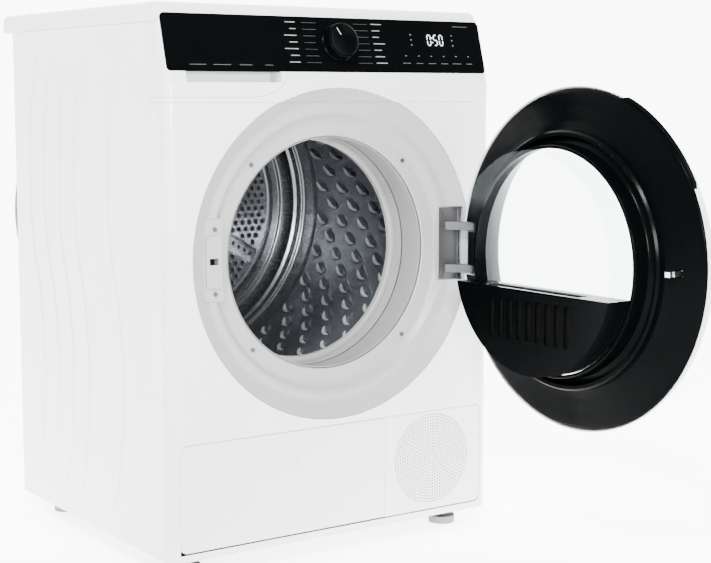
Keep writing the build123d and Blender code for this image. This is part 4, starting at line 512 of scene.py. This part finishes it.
for label, (x, z, w, h, outer_rim, inner_rim) in POCKETS.items():
    rims = [
        frame_loop(x, z, w + 0.4, h + 0.4, 1.5, 29.5),
        frame_loop(x, z, w + 0.4, h + 0.4, 1.5, outer_rim),
        frame_loop(x, z, w - 1.2, h - 1.2, 2.5, inner_rim),
        frame_loop(x, z, w - 3.0, h - 3.0, 2.5, 18.1),
    ]
    # The pockets take the same grey as painted shade.
    pocket = loop_solid(label + "_pocket", rims, "dish_painted_shade", "cabinet", slot="white_plastic")
    if label == "latch":
        carve(pocket, [((-221, FRONT + 10, 464), (-204, FAR_IN, 481))])

# ---------------------------------------------------------------- passage: liner, groove, rear lip
LINER = rounded(
    [
        (179.6, 33.2), (178.9, 35.5), (183.6, 85.6), (185.9, 86.4), (185.9, 89.0), (183.7, 89.6),
        (183.7, 109.3), (186.0, 109.3), (186.0, 84.0), (181.2, 33.2),
    ],
    0.8, closed=True,
)
lathe("passage_liner", LINER, "passage", "cabinet", slot="passage_plastic")
GROOVE = rounded(
    [(183.55, 86.2), (183.35, 87.0), (183.35, 88.4), (183.55, 89.2), (185.0, 89.2), (185.0, 86.2)],
    0.4, closed=True,
)
lathe("passage_groove", GROOVE, "rubber", "cabinet", slot="rubber")
LIP = rounded(
    [
        (174.3, 112.0), (175.6, 109.8), (179.5, 109.4), (183.6, 109.6), (183.6, 112.6), (180.2, 113.2),
        (180.2, 117.2), (174.9, 117.4),
    ],
    1.6, closed=True,
)
lathe("passage_lip", LIP, "passage", "cabinet", slot="passage_plastic")
JOINT = rounded(
    [(180.9, 31.2), (180.2, 32.0), (180.2, 33.4), (181.6, 33.4), (181.6, 31.2)], 0.3, closed=True,
)
lathe("dish_joint", JOINT, "dark", "cabinet", slot="rubber")

# ---------------------------------------------------------------- drum wall with embossings
DRUM_R = 277.9
WALL_R = 272.6
COLUMNS = 56
DIMPLE_AXIAL = 66.0
DIMPLE_AROUND = tau * DRUM_R / COLUMNS
DIMPLE_LENGTH = 19.0
DIMPLE_WIDTH = 10.0
DIMPLE_DEPTH = 5.0
DIMPLE_BEND = 0.016
SLANT = -0.5


def stagger(column):
    """How far every other column of drops is shifted along the drum."""
    return 0.5 * DIMPLE_AXIAL if column % 2 else 0.0


def has_drop(along):
    """True where a drop's centre is clear of the drum's rim and band."""
    return 24 < along < 380


def dimple(around, along):
    """How deep the drum wall is pressed out, in staggered rows of slanting drops."""
    best = 0.0
    column = round(around / DIMPLE_AROUND)
    for c in (column - 1, column, column + 1):
        shift = stagger(c)
        k = round((along - shift) / DIMPLE_AXIAL)
        for row in (k - 1, k, k + 1):
            a = along - shift - row * DIMPLE_AXIAL
            b = around - c * DIMPLE_AROUND
            if not has_drop(along - a):
                continue
            long_way = a * cos(SLANT) + b * sin(SLANT)
            wide_way = -a * sin(SLANT) + b * cos(SLANT) + DIMPLE_BEND * long_way * long_way - 1.5
            taper = max(1.0 + 0.45 * long_way / DIMPLE_LENGTH, 0.35)
            r = hypot(long_way / DIMPLE_LENGTH, wide_way / (DIMPLE_WIDTH * taper))
            if r < 1:
                best = max(best, ease(min((1 - r) / 0.62, 1)))
    return best


DRUM_START = 90.0
DRUM_END = 476.0
around_steps = 560
along_steps = 190
verts = []
for i in range(around_steps):
    angle = tau * i / around_steps
    for k in range(along_steps + 1):
        along = (DRUM_END - DRUM_START) * k / along_steps
        r = WALL_R + DIMPLE_DEPTH * dimple(angle * DRUM_R, along)
        verts.append(row_point(r, angle, DRUM_START + along, DRUM_Z))
faces = weave(around_steps, along_steps + 1, closed=True)
piece("drum_wall", verts, faces, "drum", "drum", slot="steel_drum", smooth=80.0)
DRUM_SKIN = rounded(
    [
        (237.0, 88.3), (237.0, 89.0), (240.0, 89.3), (277.95, 89.3), (277.95, 560.5), (279.1, 560.5),
        (279.1, 90.0), (277.5, 88.2), (240.0, 88.2),
    ],
    0.4, closed=True,
)
lathe("drum_skin", DRUM_SKIN, "drum", "drum", centre_z=DRUM_Z, cad=["drum_shell"], slot="steel_drum")

# A raised strip beside each pressed drop, in a lighter copy of the drum steel: its lightness is a painted
# highlight.
CREST_HALF, CREST_WIDTH, CREST_LIFT, CREST_BEND = 18.0, 3.5, 3.6, 0.020
verts, faces = [], []
for c in range(COLUMNS):
    for row in range(7):
        along = row * DIMPLE_AXIAL + stagger(c)
        if not has_drop(along):
            continue
        base = len(verts)
        for u in range(9):
            t = -1 + u / 4
            width = CREST_WIDTH * (1 - t * t) ** 0.5 * (1 + 0.4 * t) + 0.05
            for v in range(5):
                w = -1 + v / 2
                a = CREST_HALF * t
                b = width * w + 4.5 - CREST_BEND * a * a
                lift = CREST_LIFT * (1 - w * w) * (1 - t * t) ** 0.7
                x = along + 8.0 + a * cos(SLANT) - b * sin(SLANT)
                y = c * DIMPLE_AROUND + a * sin(SLANT) + b * cos(SLANT)
                verts.append(row_point(WALL_R + 0.4 - lift, y / DRUM_R, DRUM_START + x, DRUM_Z))
        faces += weave(9, 5, base)
piece("drum_crest_highlights", verts, faces, "crest_painted_highlight", "drum", slot="steel_drum", smooth=80.0)

# The band near the back, folded into short segments with a narrow groove between them.
FOLDS = 72
FOLD = (
    (272.7, 475.5), (271.6, 477.0), (271.2, 479.0), (271.2, 515.0), (272.0, 518.0), (274.5, 519.5),
)
FOLD_STEPS = ((0.0, 0.0), (0.03, 0.9), (0.05, 0.9), (0.5, 0.0), (0.97, 0.0))
verts = []
for i in range(FOLDS):
    for part, sink in FOLD_STEPS:
        for r, d in FOLD:
            verts.append(row_point(r + sink, tau * (i + part) / FOLDS, d, DRUM_Z))
faces = weave(FOLDS * len(FOLD_STEPS), len(FOLD), closed=True)
piece("drum_band_folds", verts, faces, "drumback", "drum", slot="steel_drum", smooth=25.0)
BAND = rounded(
    [
        (274.5, 519.5), (272.0, 522.0), (267.0, 523.0), (264.5, 526.0), (264.5, 530.0), (269.0, 533.0),
        (269.0, 541.0), (262.0, 545.0), (262.0, 551.0), (266.0, 556.0), (277.0, 559.5),
    ],
    1.6,
)
lathe(
    "drum_band", BAND, "drumback", "drum", centre_z=DRUM_Z, closed=False, segments=240,
    slot="steel_drum",
)

# ---------------------------------------------------------------- drum back: rings and a perforated plate
BACK = rounded(
    [
        (208, 551.9), (213, 550.2), (218, 552.0), (222, 556.5), (236, 556.8), (240, 552.4),
        (244, 551.4), (256, 552.0), (260, 559.0), (278.9, 560.9), (278.9, 561.9), (258, 561.6),
        (254, 553.0), (242, 553.0), (238, 558.4), (220, 558.4), (214, 553.0), (208, 553.0),
    ],
    1.5, closed=True,
)
lathe(
    "drum_back_rings", BACK, "drumback", "drum", centre_z=DRUM_Z, cad=["drum_back"],
    slot="steel_drum",
)
HUB = rounded(
    [(0.1, 548.5), (30, 548.7), (46, 549.4), (54, 551.0), (62, 552.2), (62, 553.0), (0.1, 553.0)], 2.0,
)
lathe(
    "drum_back_hub", HUB, "drumback", "drum", centre_z=DRUM_Z, closed=False, segments=96,
    slot="steel_drum",
)
PLATE_R = 214
PLATE_PITCH = 14.6
PLATE_DEPTH = 552.1
HOLE_R = 4.0
HOLE_RINGS = ((HOLE_R + 1.1, 0.0), (HOLE_R, 0.5), (HOLE_R, 1.1))
SPOKE_HALF = 17.0
CELL = PLATE_PITCH / sqrt(3) * 1.001
SIXTH = pi / 3
verts, faces = [], []
span = ceil(PLATE_R / PLATE_PITCH) + 2
for row in range(-span - 3, span + 4):
    for col in range(-span, span + 1):
        px = (col + 0.5 * (row % 2)) * PLATE_PITCH
        pz = row * PLATE_PITCH * sqrt(3) / 2
        r = hypot(px, pz)
        if not 50 < r < PLATE_R:
            continue
        away = min(abs(px * cos(a) - pz * sin(a)) for a in (0.0, SIXTH, 2 * SIXTH))
        base = len(verts)
        turns = [tau * (q + 0.5) / 12 + pi / 12 for q in range(12)]
        for a in turns:
            reach = CELL * cos(pi / 6) / cos(a - SIXTH * round(a / SIXTH))
            verts.append((px + reach * cos(a), FRONT + PLATE_DEPTH, DRUM_Z + pz + reach * sin(a)))
        if 74 < r < 203 and away > SPOKE_HALF:
            for ring_r, sink in HOLE_RINGS:
                for a in turns:
                    y = FRONT + PLATE_DEPTH + sink
                    verts.append((px + ring_r * cos(a), y, DRUM_Z + pz + ring_r * sin(a)))
            faces += weave(4, 12, base, ring=True)
        else:
            faces.append(tuple(range(base, base + 12)))
piece("drum_plate", verts, faces, "drumback", "drum", slot="steel_drum", smooth=50.0)


def plate_point(x, z, rise, angle):
    """A point standing off the plate, turned about the drum's axis."""
    return (
        x * cos(angle) + z * sin(angle),
        FRONT + PLATE_DEPTH - rise,
        DRUM_Z - x * sin(angle) + z * cos(angle),
    )


# Each spoke's radius, half width and height, from the hub outward.
SPOKE = ((64, 8, 0.1), (70, 13, 1.2), (110, 15, 1.5), (160, 15, 1.5), (200, 14, 1.2), (207, 9, 0.1))
for k in range(6):
    verts = []
    for r, w, lift in SPOKE:
        for s in range(9):
            u = -1 + s / 4
            verts.append(plate_point(u * w, r, 0.05 + lift * sqrt(1 - u * u), k * SIXTH))
    faces = weave(len(SPOKE), 9)
    piece(f"drum_spoke_{k}", verts, faces, "drumback", "drum", slot="steel_drum", smooth=60.0)
# Holes along each spoke are painted shade: dark discs just proud of it stand in for the shadow seen
# through them.
for k in range(6):
    verts, faces = [], []
    for r in range(82, 196, 14):
        base = len(verts)
        for ring_r, rise in ((3.9, 1.62), (3.6, 1.68)):
            for q in range(12):
                a = tau * q / 12
                verts.append(plate_point(ring_r * cos(a), r + ring_r * sin(a), rise, k * SIXTH))
        faces += weave(2, 12, base, ring=True)
        faces.append(tuple(range(base + 12, base + 24)))
    piece(f"spoke_hole_painted_shade_{k}", verts, faces, "dark", "drum", slot="steel_drum")

# ---------------------------------------------------------------- door
COVER = rounded(
    [
        (205.5, 33.6), (222, 33.4), (236, 31.0), (247, 25.5), (253.5, 17.0), (256.6, 8.0), (257.7, 2.3),
        (256.2, 2.2), (254.6, 8.0), (250.8, 16.0), (244.8, 23.2), (234.0, 28.6), (221.0, 31.3),
        (205.5, 31.3),
    ],
    3.0, closed=True,
)
cover = lathe(
    "door_skin", COVER, "white", "door", door=True, segments=256, cad=["door_cover"],
    slot="white_plastic",
)
THROAT = rounded([(169.8, -26.0), (204.0, 30.4), (206.3, 30.4), (172.0, -25.6)], 0.6, closed=True)
lathe("door_throat", THROAT, "black", "door", door=True, segments=256, slot="black_plastic")
SHELL = rounded(
    [
        (254.2, 4.5), (253.6, 2.2), (249, 0.2), (228, -4.2), (206, -9.8), (196, -13.4), (184, -18.4),
        (177.0, -21.8), (172.6, -25.0), (171.8, -30.0), (171.8, -49.0), (170.8, -49.8),
        (166.6, -49.8), (166.6, -48.0), (169.6, -47.6), (169.6, -24.5), (176.0, -19.2),
        (205.0, -7.2), (249.0, 2.6),
    ],
    2.4, closed=True,
)
shell = lathe(
    "door_lining", SHELL, "black", "door", door=True, segments=256, cad=["door_inner_shell"],
    slot="black_plastic",
)

# The grip swelling out of the rim, opposite the hinge.
RIM_R = 253
GRIP = rounded(
    [(253.0, 2.4), (256.6, 1.4), (261.0, 1.4), (261.8, 4.5), (258.6, 9.0), (253.0, 9.0)], 1.2,
)
GRIP_START, GRIP_SWEEP, GRIP_STEPS = 295, 46, 24
verts = []
for i in range(GRIP_STEPS + 1):
    turn = radians(GRIP_START + GRIP_SWEEP * i / GRIP_STEPS)
    rise = min(i, GRIP_STEPS - i, 2) / 2
    for r, out in GRIP:
        reach = RIM_R + (r - RIM_R) * rise
        verts.append(door_point(reach * sin(turn), DOOR_Z + reach * cos(turn), out))
piece("door_grip", verts, weave(GRIP_STEPS + 1, len(GRIP)), "black", "door", slot="black_plastic")

# Room for the two hinge arms, and the slot for the latch hook.
HINGE_Z = 471.0
ARM = 34.75
ARM_HALF = 8
leaf_room = ((240.5, -2, HINGE_Z - ARM - ARM_HALF), (262, 26.5, HINGE_Z + ARM + ARM_HALF))
carve(cover, [leaf_room], on_door=True)
arm_rooms = [
    ((202, -24, z - ARM_HALF), (266, 8, z + ARM_HALF)) for z in (HINGE_Z - ARM, HINGE_Z + ARM)
]
between_arms = ((240.5, -24, HINGE_Z - ARM), (266, 8, HINGE_Z + ARM))
hook_slot = ((-218.5, -24, 467.5), (-206.5, 8, 477.5))
carve(shell, arm_rooms + [between_arms, hook_slot], on_door=True)

# ---------------------------------------------------------------- lower right: a round field of fine holes
GRILLE_X, GRILLE_Z = 181.0, 128.0
RINGS, PITCH, DOT = 15, 4.85, 1.45
PANEL_LOW, PANEL_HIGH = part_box("air_grille")
left, right = PANEL_LOW.x / MM, PANEL_HIGH.x / MM
bottom, top = PANEL_LOW.z / MM, PANEL_HIGH.z / MM
FIELD = (RINGS + 0.5) * PITCH
# The last depth is where the dark disc of painted shade sits.
FACE, REAR, PAINTED_SHADE_DEPTH = 0.1, 2.9, 0.9
CORNER = 12
verts, faces = [], []


def grille_point(x, z, depth):
    """A point given from the field's centre, at a depth behind the front."""
    return (GRILLE_X + x, FRONT + depth, GRILLE_Z + z)


def grille_cell(r0, r1, a0, a1):
    """One cell of the field, with a hole that goes right through."""
    base = len(verts)
    cr, ca = (r0 + r1) / 2, a0 + (a1 - a0) / 2
    outline = [
        (r * sin(a), r * cos(a))
        for a, r in ((a0, r0), (ca, r0), (a1, r0), (a1, cr), (a1, r1), (ca, r1), (a0, r1), (a0, cr))
    ]
    cx, cz = cr * sin(ca), cr * cos(ca)
    for px, pz in outline:
        verts.append(grille_point(px, pz, FACE))
    for ring_r, depth in ((DOT + 0.25, FACE), (DOT, 0.4), (DOT, 2.6)):
        for px, pz in outline:
            a = atan2(pz - cz, px - cx)
            verts.append(grille_point(cx + ring_r * cos(a), cz + ring_r * sin(a), depth))
    faces.extend(weave(4, 8, base, ring=True))


for ring in range(1, RINGS + 1):
    step = tau / (6 * ring)
    for k in range(6 * ring):
        grille_cell((ring - 0.5) * PITCH, (ring + 0.5) * PITCH, step * k, step * (k + 1))
base = len(verts)
for q in range(12):
    a = tau * q / 12
    verts.append(grille_point(0.5 * PITCH * sin(a), 0.5 * PITCH * cos(a), FACE))
faces.append(tuple(range(base, base + 12)))


def panel_edge(angle):
    """Where a ray from the field's centre meets the rounded panel outline."""
    dx, dz = sin(angle), cos(angle)
    sides = [
        ((edge - centre) / d)
        for edge, centre, d in (
            (right if dx > 0 else left, GRILLE_X, dx), (top if dz > 0 else bottom, GRILLE_Z, dz),
        )
        if abs(d) > 1e-9
    ]
    x, z = GRILLE_X + dx * min(sides), GRILLE_Z + dz * min(sides)
    cx = right - CORNER
    for cz, sign in ((bottom + CORNER, -1), (top - CORNER, 1)):
        if x > cx and (z - cz) * sign > 0:
            d = hypot(x - cx, z - cz)
            if d > CORNER:
                x, z = cx + (x - cx) * CORNER / d, cz + (z - cz) * CORNER / d
    return x, z


corner_angles = [
    atan2(cx - GRILLE_X, cz - GRILLE_Z) % tau for cx in (left, right) for cz in (bottom, top)
]
angles = sorted(set([tau * k / 180 for k in range(180)] + corner_angles))
base = len(verts)
for a in angles:
    x, z = panel_edge(a)
    dx, dz = x - GRILLE_X, z - GRILLE_Z
    inset = 1 - 0.8 / hypot(dx, dz)
    verts.append(grille_point(FIELD * sin(a), FIELD * cos(a), FACE))
    verts.append(grille_point(dx * inset, dz * inset, FACE))
    verts.append((x, FRONT + 0.7, z))
    verts.append((x, FRONT + REAR, z))
    verts.append(grille_point(FIELD * sin(a), FIELD * cos(a), REAR))
faces += weave(len(angles), 5, base, closed=True)
# A dark disc just behind the face is painted shade: it stands in for the shadow down inside the holes.
painted_shade_points = [
    grille_point(FIELD * sin(tau * q / 90), FIELD * cos(tau * q / 90), depth)
    for depth in (PAINTED_SHADE_DEPTH, REAR + 0.05) for q in range(90)
]
ends = [tuple(range(90)), tuple(range(90, 180))]
piece("grille_painted_shade", painted_shade_points, weave(2, 90, ring=True) + ends, "dark", "cabinet", slot="black_matt")
piece(
    "grille_panel", verts, faces, "white", "cabinet", cad=["air_grille"], slot="white_plastic",
    smooth=35.0,
)

# ---------------------------------------------------------------- control strip: marks, readout, knob
STRIP_Z = 734.0
LEAN = 29.0 / 103.0
LEAN_N = Vector((0, -103.0, 29.0)).normalized()
LEAN_U = Vector((0, 29.0, 103.0)).normalized()
ACROSS = Vector((1, 0, 0))


def on_strip(x, z, lift):
    """A point on the leaning strip at a height z, lifted off it."""
    p = Vector((x, FRONT + (z - STRIP_Z) * LEAN, z)) + LEAN_N * lift
    return (p.x, p.y, p.z)


def marks(name, bars, mat, body="cabinet"):
    """A piece made of printed bars with chamfered edges, each (x, z, width, height)."""
    verts, faces = [], []
    for x, z, w, h in bars:
        base = len(verts)
        for grow, up in ((0.0, 0.02), (-0.08, 0.12)):
            for sx, sz in ((-1, -1), (1, -1), (1, 1), (-1, 1)):
                verts.append(on_strip(x + sx * (w / 2 + grow), z + sz * (h / 2 + grow), up))
        faces.append((base + 4, base + 5, base + 6, base + 7))
        faces += weave(2, 4, base, ring=True)
    piece(name, verts, faces, mat, body, slot="black_glass")


KNOB_X, KNOB_Z = 8.0, 795.0
PROGRAMME_Z, PROGRAMME_PITCH = 825.5, 10.0
OPTION_X, OPTION_PITCH = 135, 25.0
READOUT_Z = 803.0
# The side that a column of bars grows toward, where it starts, and its bars' lengths.
PROGRAMMES = ((-1, -64.0, (17, 11, 22, 14, 24, 15, 19)), (1, 76.0, (20, 15, 12, 22, 14, 18, 21)))
marks("programme_marks", [
    (start + side * w / 2, PROGRAMME_Z - k * PROGRAMME_PITCH, w, 1.1)
    for side, start, widths in PROGRAMMES for k, w in enumerate(widths)
], "ink")
marks("dial_ticks", [
    (
        KNOB_X + side * (50 - 0.9 * abs(k - 3)), PROGRAMME_Z - k * PROGRAMME_PITCH - 0.4,
        20.0 + 2.2 * abs(k - 3), 0.45,
    )
    for side in (-1, 1) for k in range(7)
], "dimink")
marks("option_marks", [
    (OPTION_X + k * OPTION_PITCH, 766.0, w, 1.0) for k, w in enumerate((15, 13, 16, 14, 18, 12))
] + [(252, PROGRAMME_Z, 30, 1.0)], "dimink")
marks("trim_marks", [
    (-240 + k * 40.0, 760.5, w, 0.9) for k, w in enumerate((27, 29, 21, 14))
], "dimink", "tank")
marks("touch_marks", [
    (OPTION_X + k * OPTION_PITCH, 777.6, 3.0, 0.7) for k in range(6)
] + [
    (x, READOUT_Z + dz, 1.8, 1.4) for dz in (-8.0, 0.0, 8.0) for x in (150, 232)
], "ink")

# Seven-segment readout, a generic time.
LIT = {"0": "abcdef", "5": "acdfg"}
DIGIT_W, DIGIT_H, STROKE = 6.4, 16.0, 1.1
w, h = DIGIT_W / 2, DIGIT_H / 2
SEGMENTS = {
    "a": (0, h, DIGIT_W - 2, STROKE), "d": (0, -h, DIGIT_W - 2, STROKE),
    "g": (0, 0, DIGIT_W - 2, STROKE), "f": (-w, h / 2, STROKE, h - 2),
    "e": (-w, -h / 2, STROKE, h - 2), "b": (w, h / 2, STROKE, h - 2),
    "c": (w, -h / 2, STROKE, h - 2),
}
bars = []
for digit, x in (("0", 185.5), ("5", 198.5), ("0", 209.5)):
    for s in LIT[digit]:
        sx, sz, sw, sh = SEGMENTS[s]
        bars.append((x + sx, READOUT_Z + sz, sw, sh))
marks("readout", bars + [(192.3, READOUT_Z + dz, 1.5, 1.5) for dz in (-3.5, 3.5)], "digit")

# The knob: a skirt, a finely grooved barrel and a dished cap, as (radius, lift) points.
KNOB = [
    (29.0, 0.8), (29.0, 2.8), (28.2, 3.6), (27.2, 4.0), (27.0, 5.0), (26.9, 17.2), (26.2, 18.9),
    (24.6, 19.9), (23.0, 20.2), (21.0, 19.4), (0.0, 18.6),
]
KNOB_STEPS = 240
GROOVE_DEPTH = 0.35
centre = Vector(on_strip(KNOB_X, KNOB_Z, 0.0))
verts = []
for i in range(KNOB_STEPS):
    a = tau * i / KNOB_STEPS
    for r, up in KNOB:
        groove = GROOVE_DEPTH * (i % 4 < 2) if 4.2 < up < 17.5 and r > 26 else 0.0
        p = centre + LEAN_N * up + (ACROSS * sin(a) + LEAN_U * cos(a)) * (r - groove)
        verts.append(tuple(p))
faces = weave(KNOB_STEPS, len(KNOB), closed=True)
piece(
    "knob_skin", verts, faces, "black", "knob", cad=["selector_knob"], slot="black_plastic",
    smooth=30.0,
)
# The pointer line on the cap, from its inner to its outer end.
POINTER_TURN, POINTER_FROM, POINTER_TO, POINTER_HALF = -0.52, 9.0, 21.0, 0.7
u = ACROSS * sin(POINTER_TURN) + LEAN_U * cos(POINTER_TURN)
v = ACROSS * cos(POINTER_TURN) - LEAN_U * sin(POINTER_TURN)
verts = []
for up, shrink in ((19.0, 1.0), (20.0, 0.7)):
    for s, r in ((-1, POINTER_FROM), (1, POINTER_FROM), (1, POINTER_TO), (-1, POINTER_TO)):
        verts.append(tuple(centre + LEAN_N * up + u * r + v * (s * POINTER_HALF * shrink)))
piece("knob_mark", verts, [(4, 5, 6, 7)] + weave(2, 4, ring=True), "ink", "knob", slot="black_plastic")

# ---------------------------------------------------------------- floor, light and camera
BACKWARD = (0.57, 0.82, 0.0)


def graded(tree, coordinate, start, end, low, high, target):
    """Grades a strength across the room, from low at the front to high behind the machine."""
    place = tree.nodes.new("ShaderNodeTexCoord")
    aim = tree.nodes.new("ShaderNodeVectorMath")
    aim.operation = "DOT_PRODUCT"
    aim.inputs[1].default_value = BACKWARD
    sweep = tree.nodes.new("ShaderNodeMapRange")
    sweep.interpolation_type = "SMOOTHSTEP"
    sweep.inputs["From Min"].default_value = start
    sweep.inputs["From Max"].default_value = end
    sweep.inputs["To Min"].default_value = low
    sweep.inputs["To Max"].default_value = high
    tree.links.new(place.outputs[coordinate], aim.inputs[0])
    tree.links.new(aim.outputs["Value"], sweep.inputs["Value"])
    tree.links.new(sweep.outputs["Result"], target)


bm = bmesh.new()
bmesh.ops.create_grid(bm, x_segments=24, y_segments=24, size=14.0)
mesh = bpy.data.meshes.new("studio_floor")
bm.to_mesh(mesh)
bm.free()
floor = bpy.data.objects.new("studio_floor", mesh)
bpy.context.scene.collection.objects.link(floor)
studio = coated("studio", (0.80, 0.80, 0.81), (0.84, 0.84, 0.85), 0.85, 30.0, 0.0, shine=0.1)
shader = studio.node_tree.nodes["Principled BSDF"]
shader.inputs["Emission Color"].default_value = (1, 1, 1, 1)
graded(studio.node_tree, "Object", -0.7, -0.15, 0.4, 6.5, shader.inputs["Emission Strength"])
mesh.materials.append(studio)

# The studio walls: bright behind the machine, softer at the front.
world = bpy.data.worlds.new("studio")
bpy.context.scene.world = world
world.use_nodes = True
background = world.node_tree.nodes["Background"]
background.inputs["Color"].default_value = (1, 1, 1, 1)
graded(world.node_tree, "Generated", -0.4, 0.95, 0.45, 10.0, background.inputs["Strength"])


def lamp(name, place, target, size, power):
    """A square area light that looks at a target; its power is in watts."""
    data = bpy.data.lights.new(name, "AREA")
    data.shape = "RECTANGLE"
    data.size = data.size_y = size
    data.energy = power
    obj = bpy.data.objects.new(name, data)
    bpy.context.scene.collection.objects.link(obj)
    obj.location = place
    obj.rotation_euler = (Vector(target) - Vector(place)).to_track_quat("-Z", "Y").to_euler()


lamp("key", (-2.1, -2.3, 3.1), (0, 0, 0.45), 0.6, 400)
lamp("front", (1.2, -3.4, 1.3), (0.1, 0, 0.4), 1.4, 34)
lamp("drum_light", (-0.75, -1.7, 0.85), (0.12, 0.1, 0.5), 0.3, 60)

# Solved from the cabinet's edges in the photograph.
LENS = 78.43
PITCH_DOWN, YAW = 6.92, 34.75
camera = bpy.data.cameras.new("camera")
camera.lens = LENS
camera.sensor_width = 36.0
eye = bpy.data.objects.new("camera", camera)
bpy.context.scene.collection.objects.link(eye)
eye.location = (-1.33304, -2.23453, 0.71878)
eye.rotation_euler = (radians(90 - PITCH_DOWN), 0, radians(-YAW))
bpy.context.scene.camera = eye
